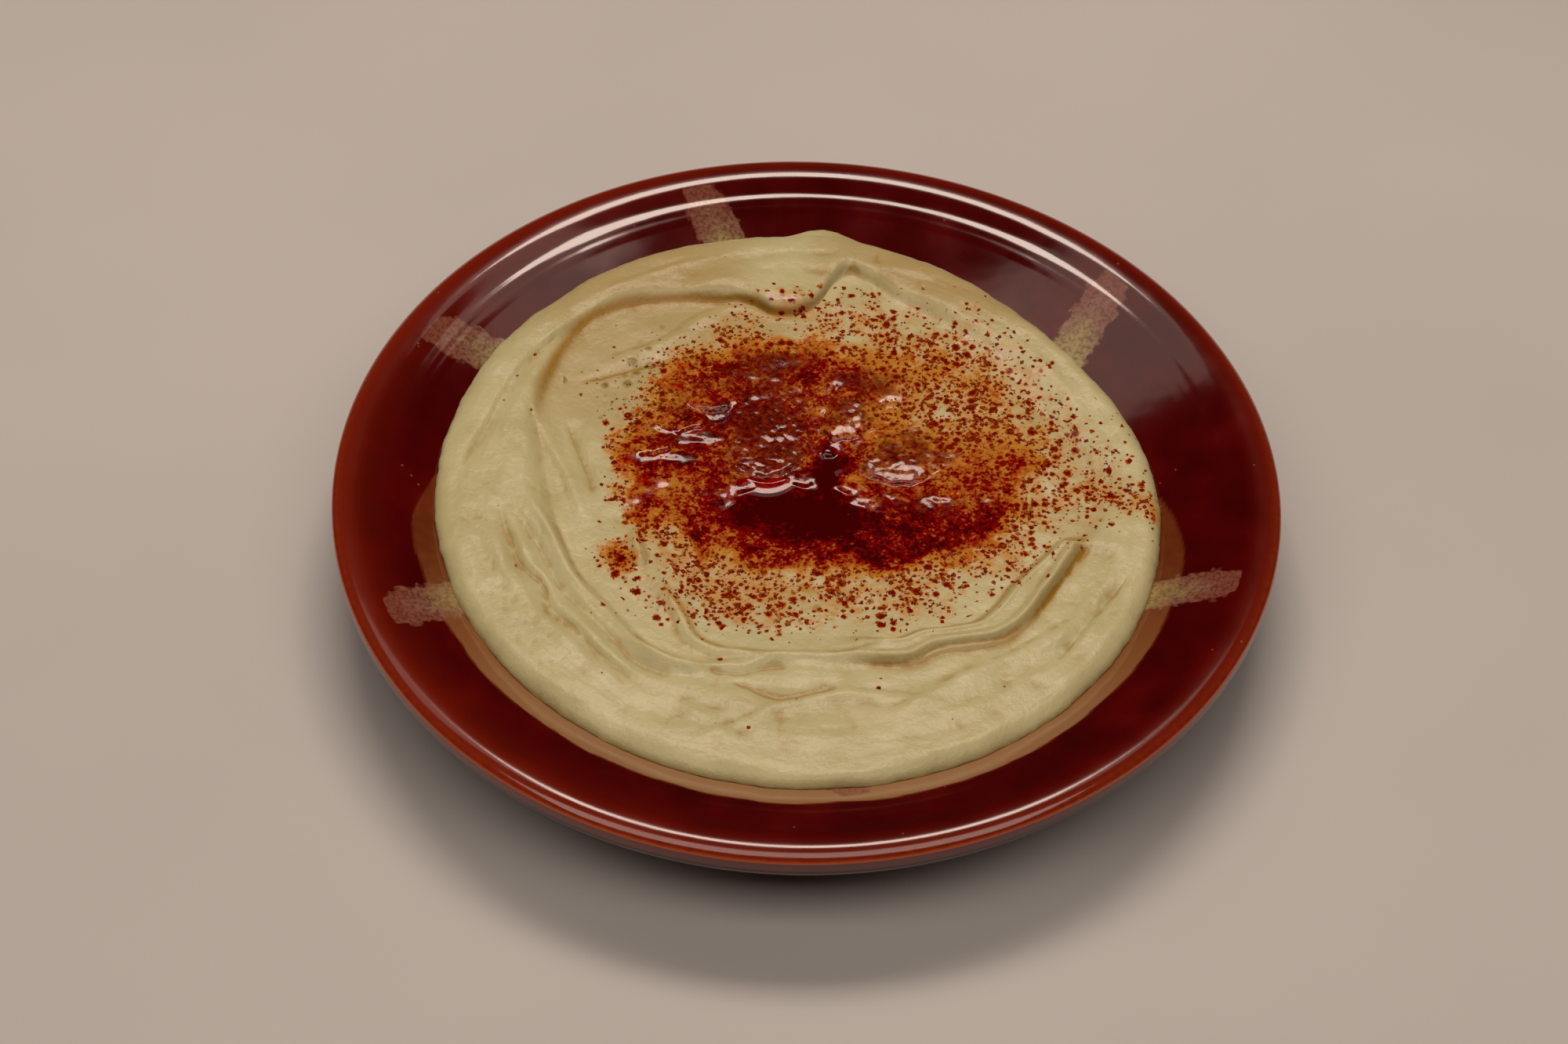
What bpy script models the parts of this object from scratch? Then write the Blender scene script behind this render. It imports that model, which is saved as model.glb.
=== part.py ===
"""A shallow glazed clay dish of hummus, swirled with a spoon and topped with red spiced oil.

The dish is a thrown earthenware plate with a rounded lip and a turned foot ring. It stands on
z = 0 with its axis on z. The hummus fills it as one mass: an outer ring, a spoon swirl that steps
down to an inner hollow, a folded tongue, a standing ridge, and a star of lobes round the middle.
The oil lies level in the hollow between the lobes. Lengths are in millimetres and are scaled to
metres when a mesh is made. Heights of the food are measured from the outer edge of the lip.
"""

import math

import bpy
import numpy as np

MM = 0.001

# Dish, revolved about z.
SEGMENTS = 80
EDGE_HEIGHT = 27.4
WELL_DEPTH = 18.6
WALL_SLOPE = 0.445
WALL_TURN_RADIUS = 52.0
WALL_TURN_WIDTH = 8.0
WALL_THICKNESS = 6.2
LIP_START_RADIUS = 93.1
LIP_INNER_RADIUS = 8.6
LIP_CROWN_RADIUS = 4.4
LIP_CROWN_END_ANGLE = -42.0
LIP_EDGE_RADIUS = 1.2
LIP_EDGE_END_ANGLE = -88.0
LIP_BAND_HEIGHT = 1.9
LIP_ROLL_RADIUS = 4.2
LIP_ROLL_END_ANGLE = -168.0
FOOT_OUTER_RADIUS = 52.5
FOOT_INNER_RADIUS = 45.5
FOOT_TAPER = 1.5
FOOT_ROUNDING = 0.8
RECESS_DEPTH = 1.8
LIP_WARP = 0.32
LIP_WARP_LOBES = 3

# Food: heights from the lip's outer edge, radii from the dish axis.
FILM_GAP = 0.35
OUTLINE_RADIUS = 77.6
SHOULDER_WIDTH = 6.5
RING_LEVEL = -4.1
HOLLOW_LEVEL = -6.2
OIL_LEVEL = -7.9
FOOD_SEGMENTS = 78
SHOULDER_STEPS = 4
RING_STEPS = 5
SWIRL_STEPS = 4
HOLLOW_STEPS = 10
UNDERSIDE_STEPS = 4
GRID_CENTRE = (3.0, 4.0)

# The spoon swirl as (angle in degrees, radius) and the width of its step at the same angles.
SWIRL = (
    (5, 66.0),
    (20, 63.5),
    (52, 61.5),
    (71, 64.3),
    (84, 69.2),
    (88, 59.5),
    (95, 55.4),
    (101, 57.8),
    (110, 62.3),
    (121, 67.8),
    (135, 71.0),
    (148, 67.0),
    (163, 61.5),
    (190, 54.5),
    (235, 54.0),
    (258, 47.0),
    (275, 44.5),
    (301, 50.0),
    (320, 54.5),
    (345, 57.5),
)
SWIRL_WIDTH = (
    (5, 4.5),
    (60, 2.4),
    (80, 1.4),
    (125, 1.4),
    (175, 2.2),
    (205, 2.2),
    (235, 1.9),
    (275, 2.0),
    (300, 1.6),
    (345, 2.2),
)
STEP_DROP = (
    (5, 1.0),
    (65, 1.8),
    (105, 2.7),
    (145, 2.5),
    (175, 2.1),
    (235, 1.7),
    (275, 1.0),
    (300, 0.8),
    (345, 0.9),
)

# A tongue of hummus folded in over the swirl at the back: where it is and how far it swells.
TONGUE_ANGLE = 95.0
TONGUE_HALF_ANGLE = 10.0
TONGUE_SWELL = 0.6

# A ridge left standing along the front right of the swirl.
RIDGE_START = 280.0
RIDGE_END = 349.0
RIDGE_LEAD_IN = 14.0
RIDGE_BLUNT_END = 3.0
RIDGE_WIDTH = 5.0
RIDGE_RISE = 2.1

# Lobes left standing between the spoon's marks: (x, y, half length, half width, turn, top).
LOBES = (
    (-8.5, 19.0, 14.2, 9.4, 92.0, -6.1),
    (8.8, 24.5, 6.6, 4.6, 60.0, -6.1),
    (20.0, 12.5, 9.6, 7.6, 28.0, -6.1),
    (30.0, 2.4, 5.6, 2.6, 5.0, -6.9),
    (28.0, -9.8, 3.2, 2.0, -15.0, -7.2),
    (-20.5, 28.6, 7.6, 4.8, 10.0, -6.3),
    (-28.0, 21.8, 7.2, 4.4, 8.0, -6.3),
    (-33.4, 14.6, 6.2, 3.8, 14.0, -6.3),
)
LOBE_DROP = 2.7

# Oil: an uneven oval held in the middle of the hollow.
OIL_CENTRE = (6.0, -2.5)
OIL_HALF_LENGTH = 30.0
OIL_HALF_WIDTH = 12.0
OIL_BASIN_DEPTH = 2.1
OIL_STEPS = 4
OIL_SEGMENTS = 40


def smooth(low, high, value):
    part = np.clip((value - low) / (high - low), 0.0, 1.0)
    return part * part * (3.0 - 2.0 * part)


def around(angle, pairs):
    """A smooth closed curve through (degrees, value) pairs, read at angles in radians."""
    degrees = np.degrees(angle) % 360.0
    at = np.array([pair[0] for pair in pairs], float)
    value = np.array([pair[1] for pair in pairs], float)
    at = np.concatenate([at - 360.0, at, at + 360.0])
    value = np.concatenate([value, value, value])
    slope = np.gradient(value, at)
    k = np.searchsorted(at, degrees, side="right") - 1
    span = at[k + 1] - at[k]
    t = (degrees - at[k]) / span
    rise = 3.0 * t**2 - 2.0 * t**3
    start = t - 2.0 * t**2 + t**3
    end = t**3 - t**2
    return value[k] + (value[k + 1] - value[k]) * rise + span * (start * slope[k] + end * slope[k + 1])


def inner_wall(radius):
    """Height of the dish's inner surface: a flat well that turns into a straight sloping wall."""
    turned = np.log1p(np.exp((radius - WALL_TURN_RADIUS) / WALL_TURN_WIDTH))
    return WALL_SLOPE * WALL_TURN_WIDTH * turned - WELL_DEPTH


def arc(start, start_angle, end_angle, radius, steps):
    """Points of an arc that leaves start at start_angle and turns to end_angle, in degrees."""
    turn = math.copysign(1.0, end_angle - start_angle)
    a0 = math.radians(start_angle)
    points = []
    for step in range(1, steps + 1):
        a = math.radians(start_angle + (end_angle - start_angle) * step / steps)
        r = start[0] + turn * radius * (math.sin(a) - math.sin(a0))
        z = start[1] - turn * radius * (math.cos(a) - math.cos(a0))
        points.append((r, z))
    return points


def dish_profile():
    """(radius, height) pairs from the middle of the well, over the lip, to the middle of the base."""
    points = []
    for radius in (26.0, 38.0, 46.0, 53.0, 60.0, 68.0, 80.0, LIP_START_RADIUS):
        points.append((radius, float(inner_wall(radius))))
    wall_angle = math.degrees(math.atan(WALL_SLOPE * 0.994))
    points += arc(points[-1], wall_angle, 0.0, LIP_INNER_RADIUS, 2)
    points += arc(points[-1], 0.0, LIP_CROWN_END_ANGLE, LIP_CROWN_RADIUS, 3)
    points += arc(points[-1], LIP_CROWN_END_ANGLE, LIP_EDGE_END_ANGLE, LIP_EDGE_RADIUS, 2)
    r, z = points[-1]
    points.append((r, z - LIP_BAND_HEIGHT))
    points += arc(points[-1], -90.0, LIP_ROLL_END_ANGLE, LIP_ROLL_RADIUS, 4)
    for radius in (89.0, 76.0, 65.0, FOOT_OUTER_RADIUS + FOOT_TAPER):
        points.append((radius, float(inner_wall(radius)) - WALL_THICKNESS))
    points.append((FOOT_OUTER_RADIUS, FOOT_ROUNDING - EDGE_HEIGHT))
    points.append((FOOT_OUTER_RADIUS - FOOT_ROUNDING, -EDGE_HEIGHT))
    points.append((FOOT_INNER_RADIUS + FOOT_ROUNDING, -EDGE_HEIGHT))
    points.append((FOOT_INNER_RADIUS, FOOT_ROUNDING - EDGE_HEIGHT))
    points.append((FOOT_INNER_RADIUS - FOOT_ROUNDING, RECESS_DEPTH - EDGE_HEIGHT))
    return points


def outline(angle):
    """Radius of the edge where the hummus meets the dish."""
    turn = np.degrees(angle) % 360.0
    flat = 2.6 * np.exp(-(((turn - 42.0) / 26.0) ** 2))
    peak = 2.6 * np.exp(-(((turn - 88.0) / 5.0) ** 2))
    wide = 1.7 * np.cos(np.radians(turn - 155.0)) + 1.2 * np.cos(np.radians(2.0 * (turn - 120.0)))
    return OUTLINE_RADIUS + wide - flat + peak


def swirl_radius(angle):
    """Radius of the swirl's step, which the tongue's edge draws in at the back."""
    return around(angle, SWIRL)


def lobe(x, y, centre_x, centre_y, length, width, turn, top):
    """Height of one lobe: a round-topped loaf with steep sides."""
    a = math.radians(turn)
    u = (x - centre_x) * math.cos(a) + (y - centre_y) * math.sin(a)
    v = (y - centre_y) * math.cos(a) - (x - centre_x) * math.sin(a)
    q = (u / length) ** 2 + (v / width) ** 2
    return top - 0.2 * np.minimum(q, 1.5) - LOBE_DROP * smooth(0.7, 1.35, q)


def oil_reach(x, y):
    """How far a point lies out from the middle of the oil: 1 on the oil's edge."""
    u = x - OIL_CENTRE[0]
    v = y - OIL_CENTRE[1]
    turn = np.arctan2(v / OIL_HALF_WIDTH, u / OIL_HALF_LENGTH)
    uneven = 1.0 + 0.07 * np.cos(3.0 * turn + 0.8) + 0.04 * np.cos(5.0 * turn)
    return np.hypot(u / OIL_HALF_LENGTH, v / OIL_HALF_WIDTH) / uneven


def hollow_floor(x, y):
    """Height inside the swirl: the hollow with its lobes, and the basin under the oil."""
    rho = np.hypot(x, y)
    floor = HOLLOW_LEVEL - 1.3 * (1.0 - smooth(18.0, 48.0, rho))
    for form in LOBES:
        floor = np.maximum(floor, lobe(x, y, *form))
    reach = oil_reach(x, y)
    basin = OIL_LEVEL - OIL_BASIN_DEPTH * (1.0 - np.minimum(reach, 1.0) ** 2)
    basin = basin + 2.2 * np.maximum(reach - 1.0, 0.0) * (1.0 + 1.5 * reach)
    return np.minimum(floor, basin)


def hummus_top(x, y):
    """Height of the top of the hummus at (x, y)."""
    rho = np.hypot(x, y)
    phi = np.arctan2(y, x)
    turn = np.degrees(phi) % 360.0
    past = rho - swirl_radius(phi)
    step = 0.5 + 0.5 * np.tanh(past / around(phi, SWIRL_WIDTH))

    # The ring stands highest at the back, where the spoon lifted; the tongue swells a little.
    ring = RING_LEVEL + 0.45 * np.cos(np.radians(turn - 120.0))
    tongue = np.exp(-(((turn - TONGUE_ANGLE) / TONGUE_HALF_ANGLE) ** 2))
    ring = ring + TONGUE_SWELL * tongue * np.exp(-(((past - 4.0) / 5.0) ** 2))
    hollow = np.minimum(hollow_floor(x, y), ring - around(phi, STEP_DROP))
    top = hollow + (ring - hollow) * step

    # A soft roll and a groove run outside the step on the left.
    left = smooth(150.0, 185.0, turn) * (1.0 - smooth(232.0, 262.0, turn))
    top = top + left * 0.7 * np.exp(-(((past - 2.2) / 1.5) ** 2))
    top = top - left * 0.9 * np.exp(-(((past - 6.0) / 1.8) ** 2))

    # The ridge is flat on top, has a steep outer face and ends bluntly.
    along = smooth(RIDGE_START, RIDGE_START + RIDGE_LEAD_IN, turn)
    along = along * (1.0 - smooth(RIDGE_END - RIDGE_BLUNT_END, RIDGE_END, turn))
    band = smooth(-1.6 * RIDGE_WIDTH, -0.7 * RIDGE_WIDTH, past) * (1.0 - smooth(-0.6, 2.2, past))
    top = top + along * RIDGE_RISE * band
    top = top - along * 0.5 * smooth(1.0, 3.0, past) * (1.0 - smooth(6.0, 16.0, past))

    # The mass rounds off over its shoulder to meet the dish.
    edge = outline(phi)
    base = inner_wall(edge) + FILM_GAP
    t = np.clip((edge - rho) / SHOULDER_WIDTH, 0.0, 1.0)
    return base + (top - base) * np.sqrt(1.0 - (1.0 - t) ** 2)


def closed_mesh(name, rings, middle_first, middle_last):
    """A closed body from rings of points that run from one middle point to the other."""
    count = len(rings[0])
    points = [middle_first]
    for ring in rings:
        points += ring
    points.append(middle_last)
    faces = []
    for k in range(count):
        faces.append((0, 1 + k, 1 + (k + 1) % count))
    for level in range(len(rings) - 1):
        a = 1 + level * count
        b = a + count
        for k in range(count):
            n = (k + 1) % count
            faces.append((a + k, b + k, b + n, a + n))
    last = 1 + (len(rings) - 1) * count
    for k in range(count):
        faces.append((last + k, len(points) - 1, last + (k + 1) % count))
    mesh = bpy.data.meshes.new(name)
    mesh.from_pydata([tuple(c * MM for c in point) for point in points], [], faces)
    mesh.validate()
    mesh.shade_smooth()
    made = bpy.data.objects.new(name, mesh)
    bpy.context.scene.collection.objects.link(made)
    return made


def build_bowl():
    """The thrown dish: its profile turned about z, with a slight three-sided warp at the lip."""
    rings = []
    for radius, height in dish_profile():
        ring = []
        reach = float(smooth(80.0, 96.0, radius))
        for k in range(SEGMENTS):
            a = 2.0 * math.pi * k / SEGMENTS
            r = radius + LIP_WARP * reach * math.cos(LIP_WARP_LOBES * a)
            ring.append((r * math.cos(a), r * math.sin(a), height + EDGE_HEIGHT))
        rings.append(ring)
    well = (0.0, 0.0, EDGE_HEIGHT - WELL_DEPTH)
    base = (0.0, 0.0, RECESS_DEPTH)
    bowl = closed_mesh("bowl", rings, well, base)
    bowl.data.set_sharp_from_angle(angle=math.radians(50.0))
    return bowl


def food_spokes():
    """For each spoke of the food grid: its direction, swirl crossing and outline crossing."""
    cx, cy = GRID_CENTRE
    reach = np.linspace(0.0, 95.0, 1901)
    spokes = []
    for k in range(FOOD_SEGMENTS):
        a = 2.0 * math.pi * k / FOOD_SEGMENTS
        x = cx + reach * math.cos(a)
        y = cy + reach * math.sin(a)
        rho = np.hypot(x, y)
        phi = np.arctan2(y, x)
        swirl = reach[np.argmax(rho > swirl_radius(phi))]
        edge = reach[np.argmax(rho > outline(phi))]
        spokes.append((math.cos(a), math.sin(a), swirl, edge))
    return spokes


def food_stations(swirl, edge):
    """Distances along one spoke, from the middle to just inside the outline."""
    stations = []
    inside = swirl - 5.0
    for step in range(1, HOLLOW_STEPS + 1):
        stations.append(inside * step / HOLLOW_STEPS)
    outside = swirl + 5.0
    for step in range(1, SWIRL_STEPS + 1):
        stations.append(inside + (outside - inside) * step / SWIRL_STEPS)
    shoulder = edge - SHOULDER_WIDTH
    for step in range(1, RING_STEPS + 1):
        stations.append(outside + (shoulder - outside) * step / RING_STEPS)
    for step in range(1, SHOULDER_STEPS):
        stations.append(shoulder + SHOULDER_WIDTH * math.sin(0.5 * math.pi * step / SHOULDER_STEPS))
    return stations


def build_hummus():
    """The hummus as one solid: its worked top, and an underside that follows the dish."""
    cx, cy = GRID_CENTRE
    spokes = food_spokes()
    columns = []
    for dx, dy, swirl, edge in spokes:
        column = []
        for station in food_stations(swirl, edge):
            x, y = cx + dx * station, cy + dy * station
            column.append((x, y, float(hummus_top(x, y)) + EDGE_HEIGHT))
        x, y = cx + dx * edge, cy + dy * edge
        rim = float(inner_wall(math.hypot(x, y))) + FILM_GAP + EDGE_HEIGHT
        column.append((x, y, rim))
        for step in range(1, UNDERSIDE_STEPS + 1):
            station = edge * (1.0 - step / (UNDERSIDE_STEPS + 1.0))
            x, y = cx + dx * station, cy + dy * station
            column.append((x, y, float(inner_wall(math.hypot(x, y))) + FILM_GAP + EDGE_HEIGHT))
        columns.append(column)
    rings = [list(ring) for ring in zip(*columns)]
    under = float(inner_wall(math.hypot(cx, cy))) + FILM_GAP + EDGE_HEIGHT
    top = float(hummus_top(cx, cy)) + EDGE_HEIGHT
    return closed_mesh("hummus", rings, (cx, cy, top), (cx, cy, under))


def build_oil():
    """The pool of oil: level on top, and lying on the basin pressed into the hummus."""
    cx, cy = OIL_CENTRE
    columns = []
    for k in range(OIL_SEGMENTS):
        a = 2.0 * math.pi * k / OIL_SEGMENTS
        dx, dy = math.cos(a), math.sin(a)
        reach = np.linspace(0.0, 45.0, 901)
        edge = reach[np.argmax(oil_reach(cx + reach * dx, cy + reach * dy) > 0.93)]
        column = []
        for step in range(1, OIL_STEPS + 1):
            station = edge * step / OIL_STEPS
            column.append((cx + station * dx, cy + station * dy, OIL_LEVEL + EDGE_HEIGHT))
        for step in range(OIL_STEPS - 1, 0, -1):
            station = edge * step / OIL_STEPS
            x, y = cx + station * dx, cy + station * dy
            column.append((x, y, float(hummus_top(x, y)) + FILM_GAP + EDGE_HEIGHT))
        columns.append(column)
    rings = [list(ring) for ring in zip(*columns)]
    under = float(hummus_top(cx, cy)) + FILM_GAP + EDGE_HEIGHT
    return closed_mesh("oil", rings, (cx, cy, OIL_LEVEL + EDGE_HEIGHT), (cx, cy, under))


def principled(name, colour, roughness, coat=0.0):
    """A Principled material from a linear colour."""
    material = bpy.data.materials.new(name)
    material.use_nodes = True
    shader = material.node_tree.nodes["Principled BSDF"]
    shader.inputs["Base Color"].default_value = (*colour, 1.0)
    shader.inputs["Roughness"].default_value = roughness
    shader.inputs["Metallic"].default_value = 0.0
    shader.inputs["Coat Weight"].default_value = coat
    material.diffuse_color = (*colour, 1.0)
    return material


def glazed_clay():
    """Clear brown-red lead glaze over red earthenware."""
    return principled("glazed_clay", (0.09, 0.006, 0.003), 0.08, 1.0)


def hummus_paste():
    """Fine chickpea and tahini paste."""
    return principled("hummus_paste", (0.60, 0.48, 0.24), 0.5)


def spiced_oil():
    """Oil stained deep red by paprika."""
    return principled("spiced_oil", (0.12, 0.008, 0.002), 0.06, 0.5)


def main():
    for obj in list(bpy.data.objects):
        bpy.data.objects.remove(obj, do_unlink=True)
    build_bowl().data.materials.append(glazed_clay())
    build_hummus().data.materials.append(hummus_paste())
    build_oil().data.materials.append(spiced_oil())


main()
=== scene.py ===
"""Hummus in a shallow glazed clay dish: the looks of every piece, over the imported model.

The dish stands on z = 0 with its axis on z, and the diner sits on the -y side. Shapes are worked
out in millimetres and scaled to metres when a mesh is made. Angles round the dish are in degrees
from +x, turning towards +y.
"""

import math

import bpy
import numpy as np
from mathutils import Matrix, Vector


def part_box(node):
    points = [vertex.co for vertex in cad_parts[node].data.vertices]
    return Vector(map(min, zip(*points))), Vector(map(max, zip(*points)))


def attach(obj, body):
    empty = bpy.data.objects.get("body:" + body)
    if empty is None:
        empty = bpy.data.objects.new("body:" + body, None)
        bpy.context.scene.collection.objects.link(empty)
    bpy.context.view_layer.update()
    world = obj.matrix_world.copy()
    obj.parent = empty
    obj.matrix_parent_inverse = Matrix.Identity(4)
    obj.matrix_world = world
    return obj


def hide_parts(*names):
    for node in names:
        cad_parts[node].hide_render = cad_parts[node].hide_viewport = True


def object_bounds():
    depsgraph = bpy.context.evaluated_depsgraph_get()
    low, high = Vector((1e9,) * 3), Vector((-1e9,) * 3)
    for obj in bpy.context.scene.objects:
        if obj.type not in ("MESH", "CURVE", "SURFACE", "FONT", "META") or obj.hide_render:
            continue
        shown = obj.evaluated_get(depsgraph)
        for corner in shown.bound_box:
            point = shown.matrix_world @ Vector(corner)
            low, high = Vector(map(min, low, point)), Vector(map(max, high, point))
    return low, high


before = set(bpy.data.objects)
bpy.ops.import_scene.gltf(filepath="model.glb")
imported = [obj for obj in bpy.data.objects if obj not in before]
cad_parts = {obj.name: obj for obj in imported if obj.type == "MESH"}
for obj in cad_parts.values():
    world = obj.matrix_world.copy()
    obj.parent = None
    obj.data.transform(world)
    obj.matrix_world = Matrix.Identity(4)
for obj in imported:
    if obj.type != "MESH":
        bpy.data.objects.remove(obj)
cad_low, cad_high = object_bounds()

# ------------------------------------------------------------------------------------------------
# The dish. A shallow plate thrown in red earthenware, with a rounded lip and a turned foot ring.
# Dabs of cream slip were brushed on its wall, and a clear red-brown lead-type glaze covers it all.
# It thins to orange over the outer edge of the lip.
# ------------------------------------------------------------------------------------------------

MM = 0.001
bowl_low, bowl_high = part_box("bowl")
rim_radius = 0.5 * (bowl_high[1] - bowl_low[1]) / MM
lip_rise = 0.46
edge_height = bowl_high[2] / MM - lip_rise
well_depth = 18.6
wall_slope = 0.445
wall_turn_radius = 52
wall_turn_width = 8
wall_thickness = 6.2
lip_start = 93.1
foot_outer_radius = 52.5
foot_inner_radius = 45.5
foot_rounding = 0.8
foot_taper = 1.5
base_recess = 1.8
lip_warp = 0.32
dish_spokes = 360
# Rings of points on the inner wall, as from, to and count. Arcs round the lip, as end slope, radius
# and steps. Drops of the last rings of the outer edge.
wall_rings = ((2, 70, 20), (70.4, 84.5, 34), (84.8, lip_start, 36))
lip_arcs = ((0, 8.6, 12), (-42, 4.4, 12), (-88, 1.2, 8))
edge_drops = (1, 1.9)


def smooth(low, high, value):
    """0 at low and 1 at high, with a soft slope between."""
    part = np.clip((value - low) / (high - low), 0, 1)
    return part * part * (3 - 2 * part)


def plateau(rise_start, rise_end, fall_start, fall_end, value):
    """1 between the two slopes and 0 outside them."""
    return smooth(rise_start, rise_end, value) * (1 - smooth(fall_start, fall_end, value))


def polar(x, y):
    """Angle round the dish, from 0 to 360 degrees, and distance from its axis."""
    return np.degrees(np.arctan2(y, x)) % 360, np.hypot(x, y)


def bumps(x, y, size, seed):
    """A smooth uneven field from about -1 to 1, whose bumps are about `size` across."""
    turn = np.random.default_rng(seed).uniform(0, 2 * math.pi, (64, 64))
    u = np.asarray(x, float) / size + 19.3
    v = np.asarray(y, float) / size + 23.7
    i = np.floor(u).astype(int)
    j = np.floor(v).astype(int)
    u = u - i
    v = v - j
    total = 0
    for a in (0, 1):
        for b in (0, 1):
            lean = turn[(i + a) % 64, (j + b) % 64]
            rise = np.cos(lean) * (u - a) + np.sin(lean) * (v - b)
            total = total + rise * smooth(1, 0, np.abs(u - a)) * smooth(1, 0, np.abs(v - b))
    return 1.5 * total


def inner_wall(radius):
    """Height of the dish's inner surface, from the outer edge of the lip."""
    turned = np.log1p(np.exp((radius - wall_turn_radius) / wall_turn_width))
    return wall_slope * wall_turn_width * turned - well_depth


def bend(points, start_angle, end_angle, radius, steps):
    """Adds an arc to a profile: it leaves the last point at start_angle and turns to end_angle."""
    turn = math.copysign(1, end_angle - start_angle)
    a0 = math.radians(start_angle)
    r0, z0 = points[-1]
    for step in range(1, steps + 1):
        a = math.radians(start_angle + (end_angle - start_angle) * step / steps)
        r = r0 + turn * radius * (math.sin(a) - math.sin(a0))
        z = z0 - turn * radius * (math.cos(a) - math.cos(a0))
        points.append((r, z))


# Rings left by the potter's fingers near the lip: radius, half width, and how far each one steps.
throwing_rings = ((87, 0.5, 0.08), (89.3, 0.8, 0.27))


def ring_steps(radius):
    """Height the throwing rings add to the wall: a steady rise, less a soft step at each ring."""
    height = 0
    for place, width, step in throwing_rings:
        height += step * np.clip((radius - 85) / 8, 0, 1)
        height -= 0.5 * step * (1 + np.tanh((radius - place) / width))
    return height


def dish_profile():
    """(radius, height) pairs from near the middle of the well, over the lip, to the base."""
    radii = np.concatenate([np.linspace(*span) for span in wall_rings])
    points = [(float(r), float(inner_wall(r) + ring_steps(r))) for r in radii]
    slope = math.degrees(math.atan(wall_slope * 0.994))
    for next_slope, radius, steps in lip_arcs:
        bend(points, slope, next_slope, radius, steps)
        slope = next_slope
    r, z = points[-1]
    points += [(r, z - drop) for drop in edge_drops]
    bend(points, -90, -168, 4.2, 14)
    under = foot_outer_radius + foot_taper
    for r in np.linspace(89, under, 20):
        points.append((float(r), float(inner_wall(r)) - wall_thickness))
    foot = (
        (foot_outer_radius, foot_rounding),
        (foot_outer_radius - foot_rounding, 0),
        (foot_inner_radius + foot_rounding, 0),
        (foot_inner_radius, foot_rounding),
        (foot_inner_radius - foot_rounding, base_recess),
        (3, base_recess),
    )
    return points + [(r, z - edge_height) for r, z in foot]


def mesh_piece(name, points, faces, measures=None):
    """A smooth-shaded mesh from points in mm, with one plain number a vertex for each measure."""
    mesh = bpy.data.meshes.new(name)
    mesh.from_pydata([tuple(p) for p in np.asarray(points) * MM], [], faces)
    mesh.validate()
    mesh.shade_smooth()
    for measure, values in (measures or {}).items():
        layer = mesh.attributes.new(measure, "FLOAT", "POINT")
        layer.data.foreach_set("value", np.asarray(values, np.float32).ravel())
    piece = bpy.data.objects.new(name, mesh)
    bpy.context.scene.collection.objects.link(piece)
    return piece


def ring_faces(levels, count):
    """Faces of a body made of rings of points, closed by a first and a last point."""
    k = np.arange(count)
    n = (k + 1) % count
    faces = [tuple(f) for f in np.stack([0 * k, 1 + k, 1 + n], 1).tolist()]
    for level in range(levels - 1):
        a = 1 + level * count
        b = a + count
        faces += [tuple(f) for f in np.stack([a + k, b + k, b + n, a + n], 1).tolist()]
    last = 1 + (levels - 1) * count
    end = 1 + levels * count
    faces += [tuple(f) for f in np.stack([last + k, end + 0 * k, last + n], 1).tolist()]
    return faces


def brushed_dab(x, y, angle, start, end, width, skew):
    """Two measures of one dab of slip: how far inside it a point lies, and how far out along it."""
    a = math.radians(angle)
    middle = 0.5 * (start + end)
    lean = math.radians(skew)
    along = x * math.cos(a) + y * math.sin(a) - middle
    across = y * math.cos(a) - x * math.sin(a)
    u = along * math.cos(lean) + across * math.sin(lean)
    v = across * math.cos(lean) - along * math.sin(lean)
    corner = 1 - 0.35 * smooth(0.25, 0.5, u / (end - start))
    inside = np.minimum(0.5 * (end - start) - np.abs(u), 0.5 * width * corner - np.abs(v))
    return inside / (0.5 * width), np.clip(0.5 + u / (end - start), 0, 1)


# Each dab: its angle, where it starts and ends from the axis, its width, and its skew.
slip_dabs = (
    (204, 70, 94.5, 10.2, 14), (151.5, 70, 95.5, 10, 18), (105, 70, 94.5, 10, 15),
    (41, 70, 95, 9.6, 16), (342.5, 70, 94.5, 8.6, 12), (277, 62, 80.5, 9, 10),
)

profile = dish_profile()
spoke = 2 * math.pi * np.arange(dish_spokes) / dish_spokes
rings = []
glaze_thinness = []
lip_share = []
for radius, height in profile:
    reach = float(smooth(80, 96, radius))
    r = radius + lip_warp * reach * np.cos(3 * spoke)
    z = np.full(dish_spokes, height + edge_height)
    rings.append(np.stack([r * np.cos(spoke), r * np.sin(spoke), z], 1))
    # The glaze runs off the sharp outer edge of the lip, and a little off its slope.
    bare = math.exp(-(((radius - 100) / 0.5) ** 2)) * float(-1.5 < height < -0.2)
    slope_bare = 0.42 * math.exp(-(((radius - 99) / 1.5) ** 2)) * float(height > -1.4)
    glaze_thinness.append(np.full(dish_spokes, max(bare, slope_bare)))
    worn_here = float(smooth(93.5, 95.5, radius) * smooth(99.2, 98, radius))
    lip_share.append(np.full(dish_spokes, worn_here))
dish_points = np.concatenate(
    [[(0, 0, edge_height - well_depth)], *rings, [(0, 0, base_recess)]]
)
thin = np.concatenate([[0], *glaze_thinness, [0]])
on_lip = np.concatenate([[0], *lip_share, [0]])
inner_rings = sum(span[2] for span in wall_rings)
upper_rings = inner_rings + sum(arc[2] for arc in lip_arcs) + len(edge_drops)
on_top = np.arange(len(dish_points)) < 1 + dish_spokes * inner_rings
near_top = np.arange(len(dish_points)) < 1 + dish_spokes * upper_rings
nearest = np.full(len(dish_points), -99)
slip_end = np.zeros(len(dish_points))
for dab in slip_dabs:
    inside, outward = brushed_dab(dish_points[:, 0], dish_points[:, 1], *dab)
    slip_end = np.where(inside > nearest, outward, slip_end)
    nearest = np.maximum(nearest, inside)
slip = np.clip(nearest, 0, 1)
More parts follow.
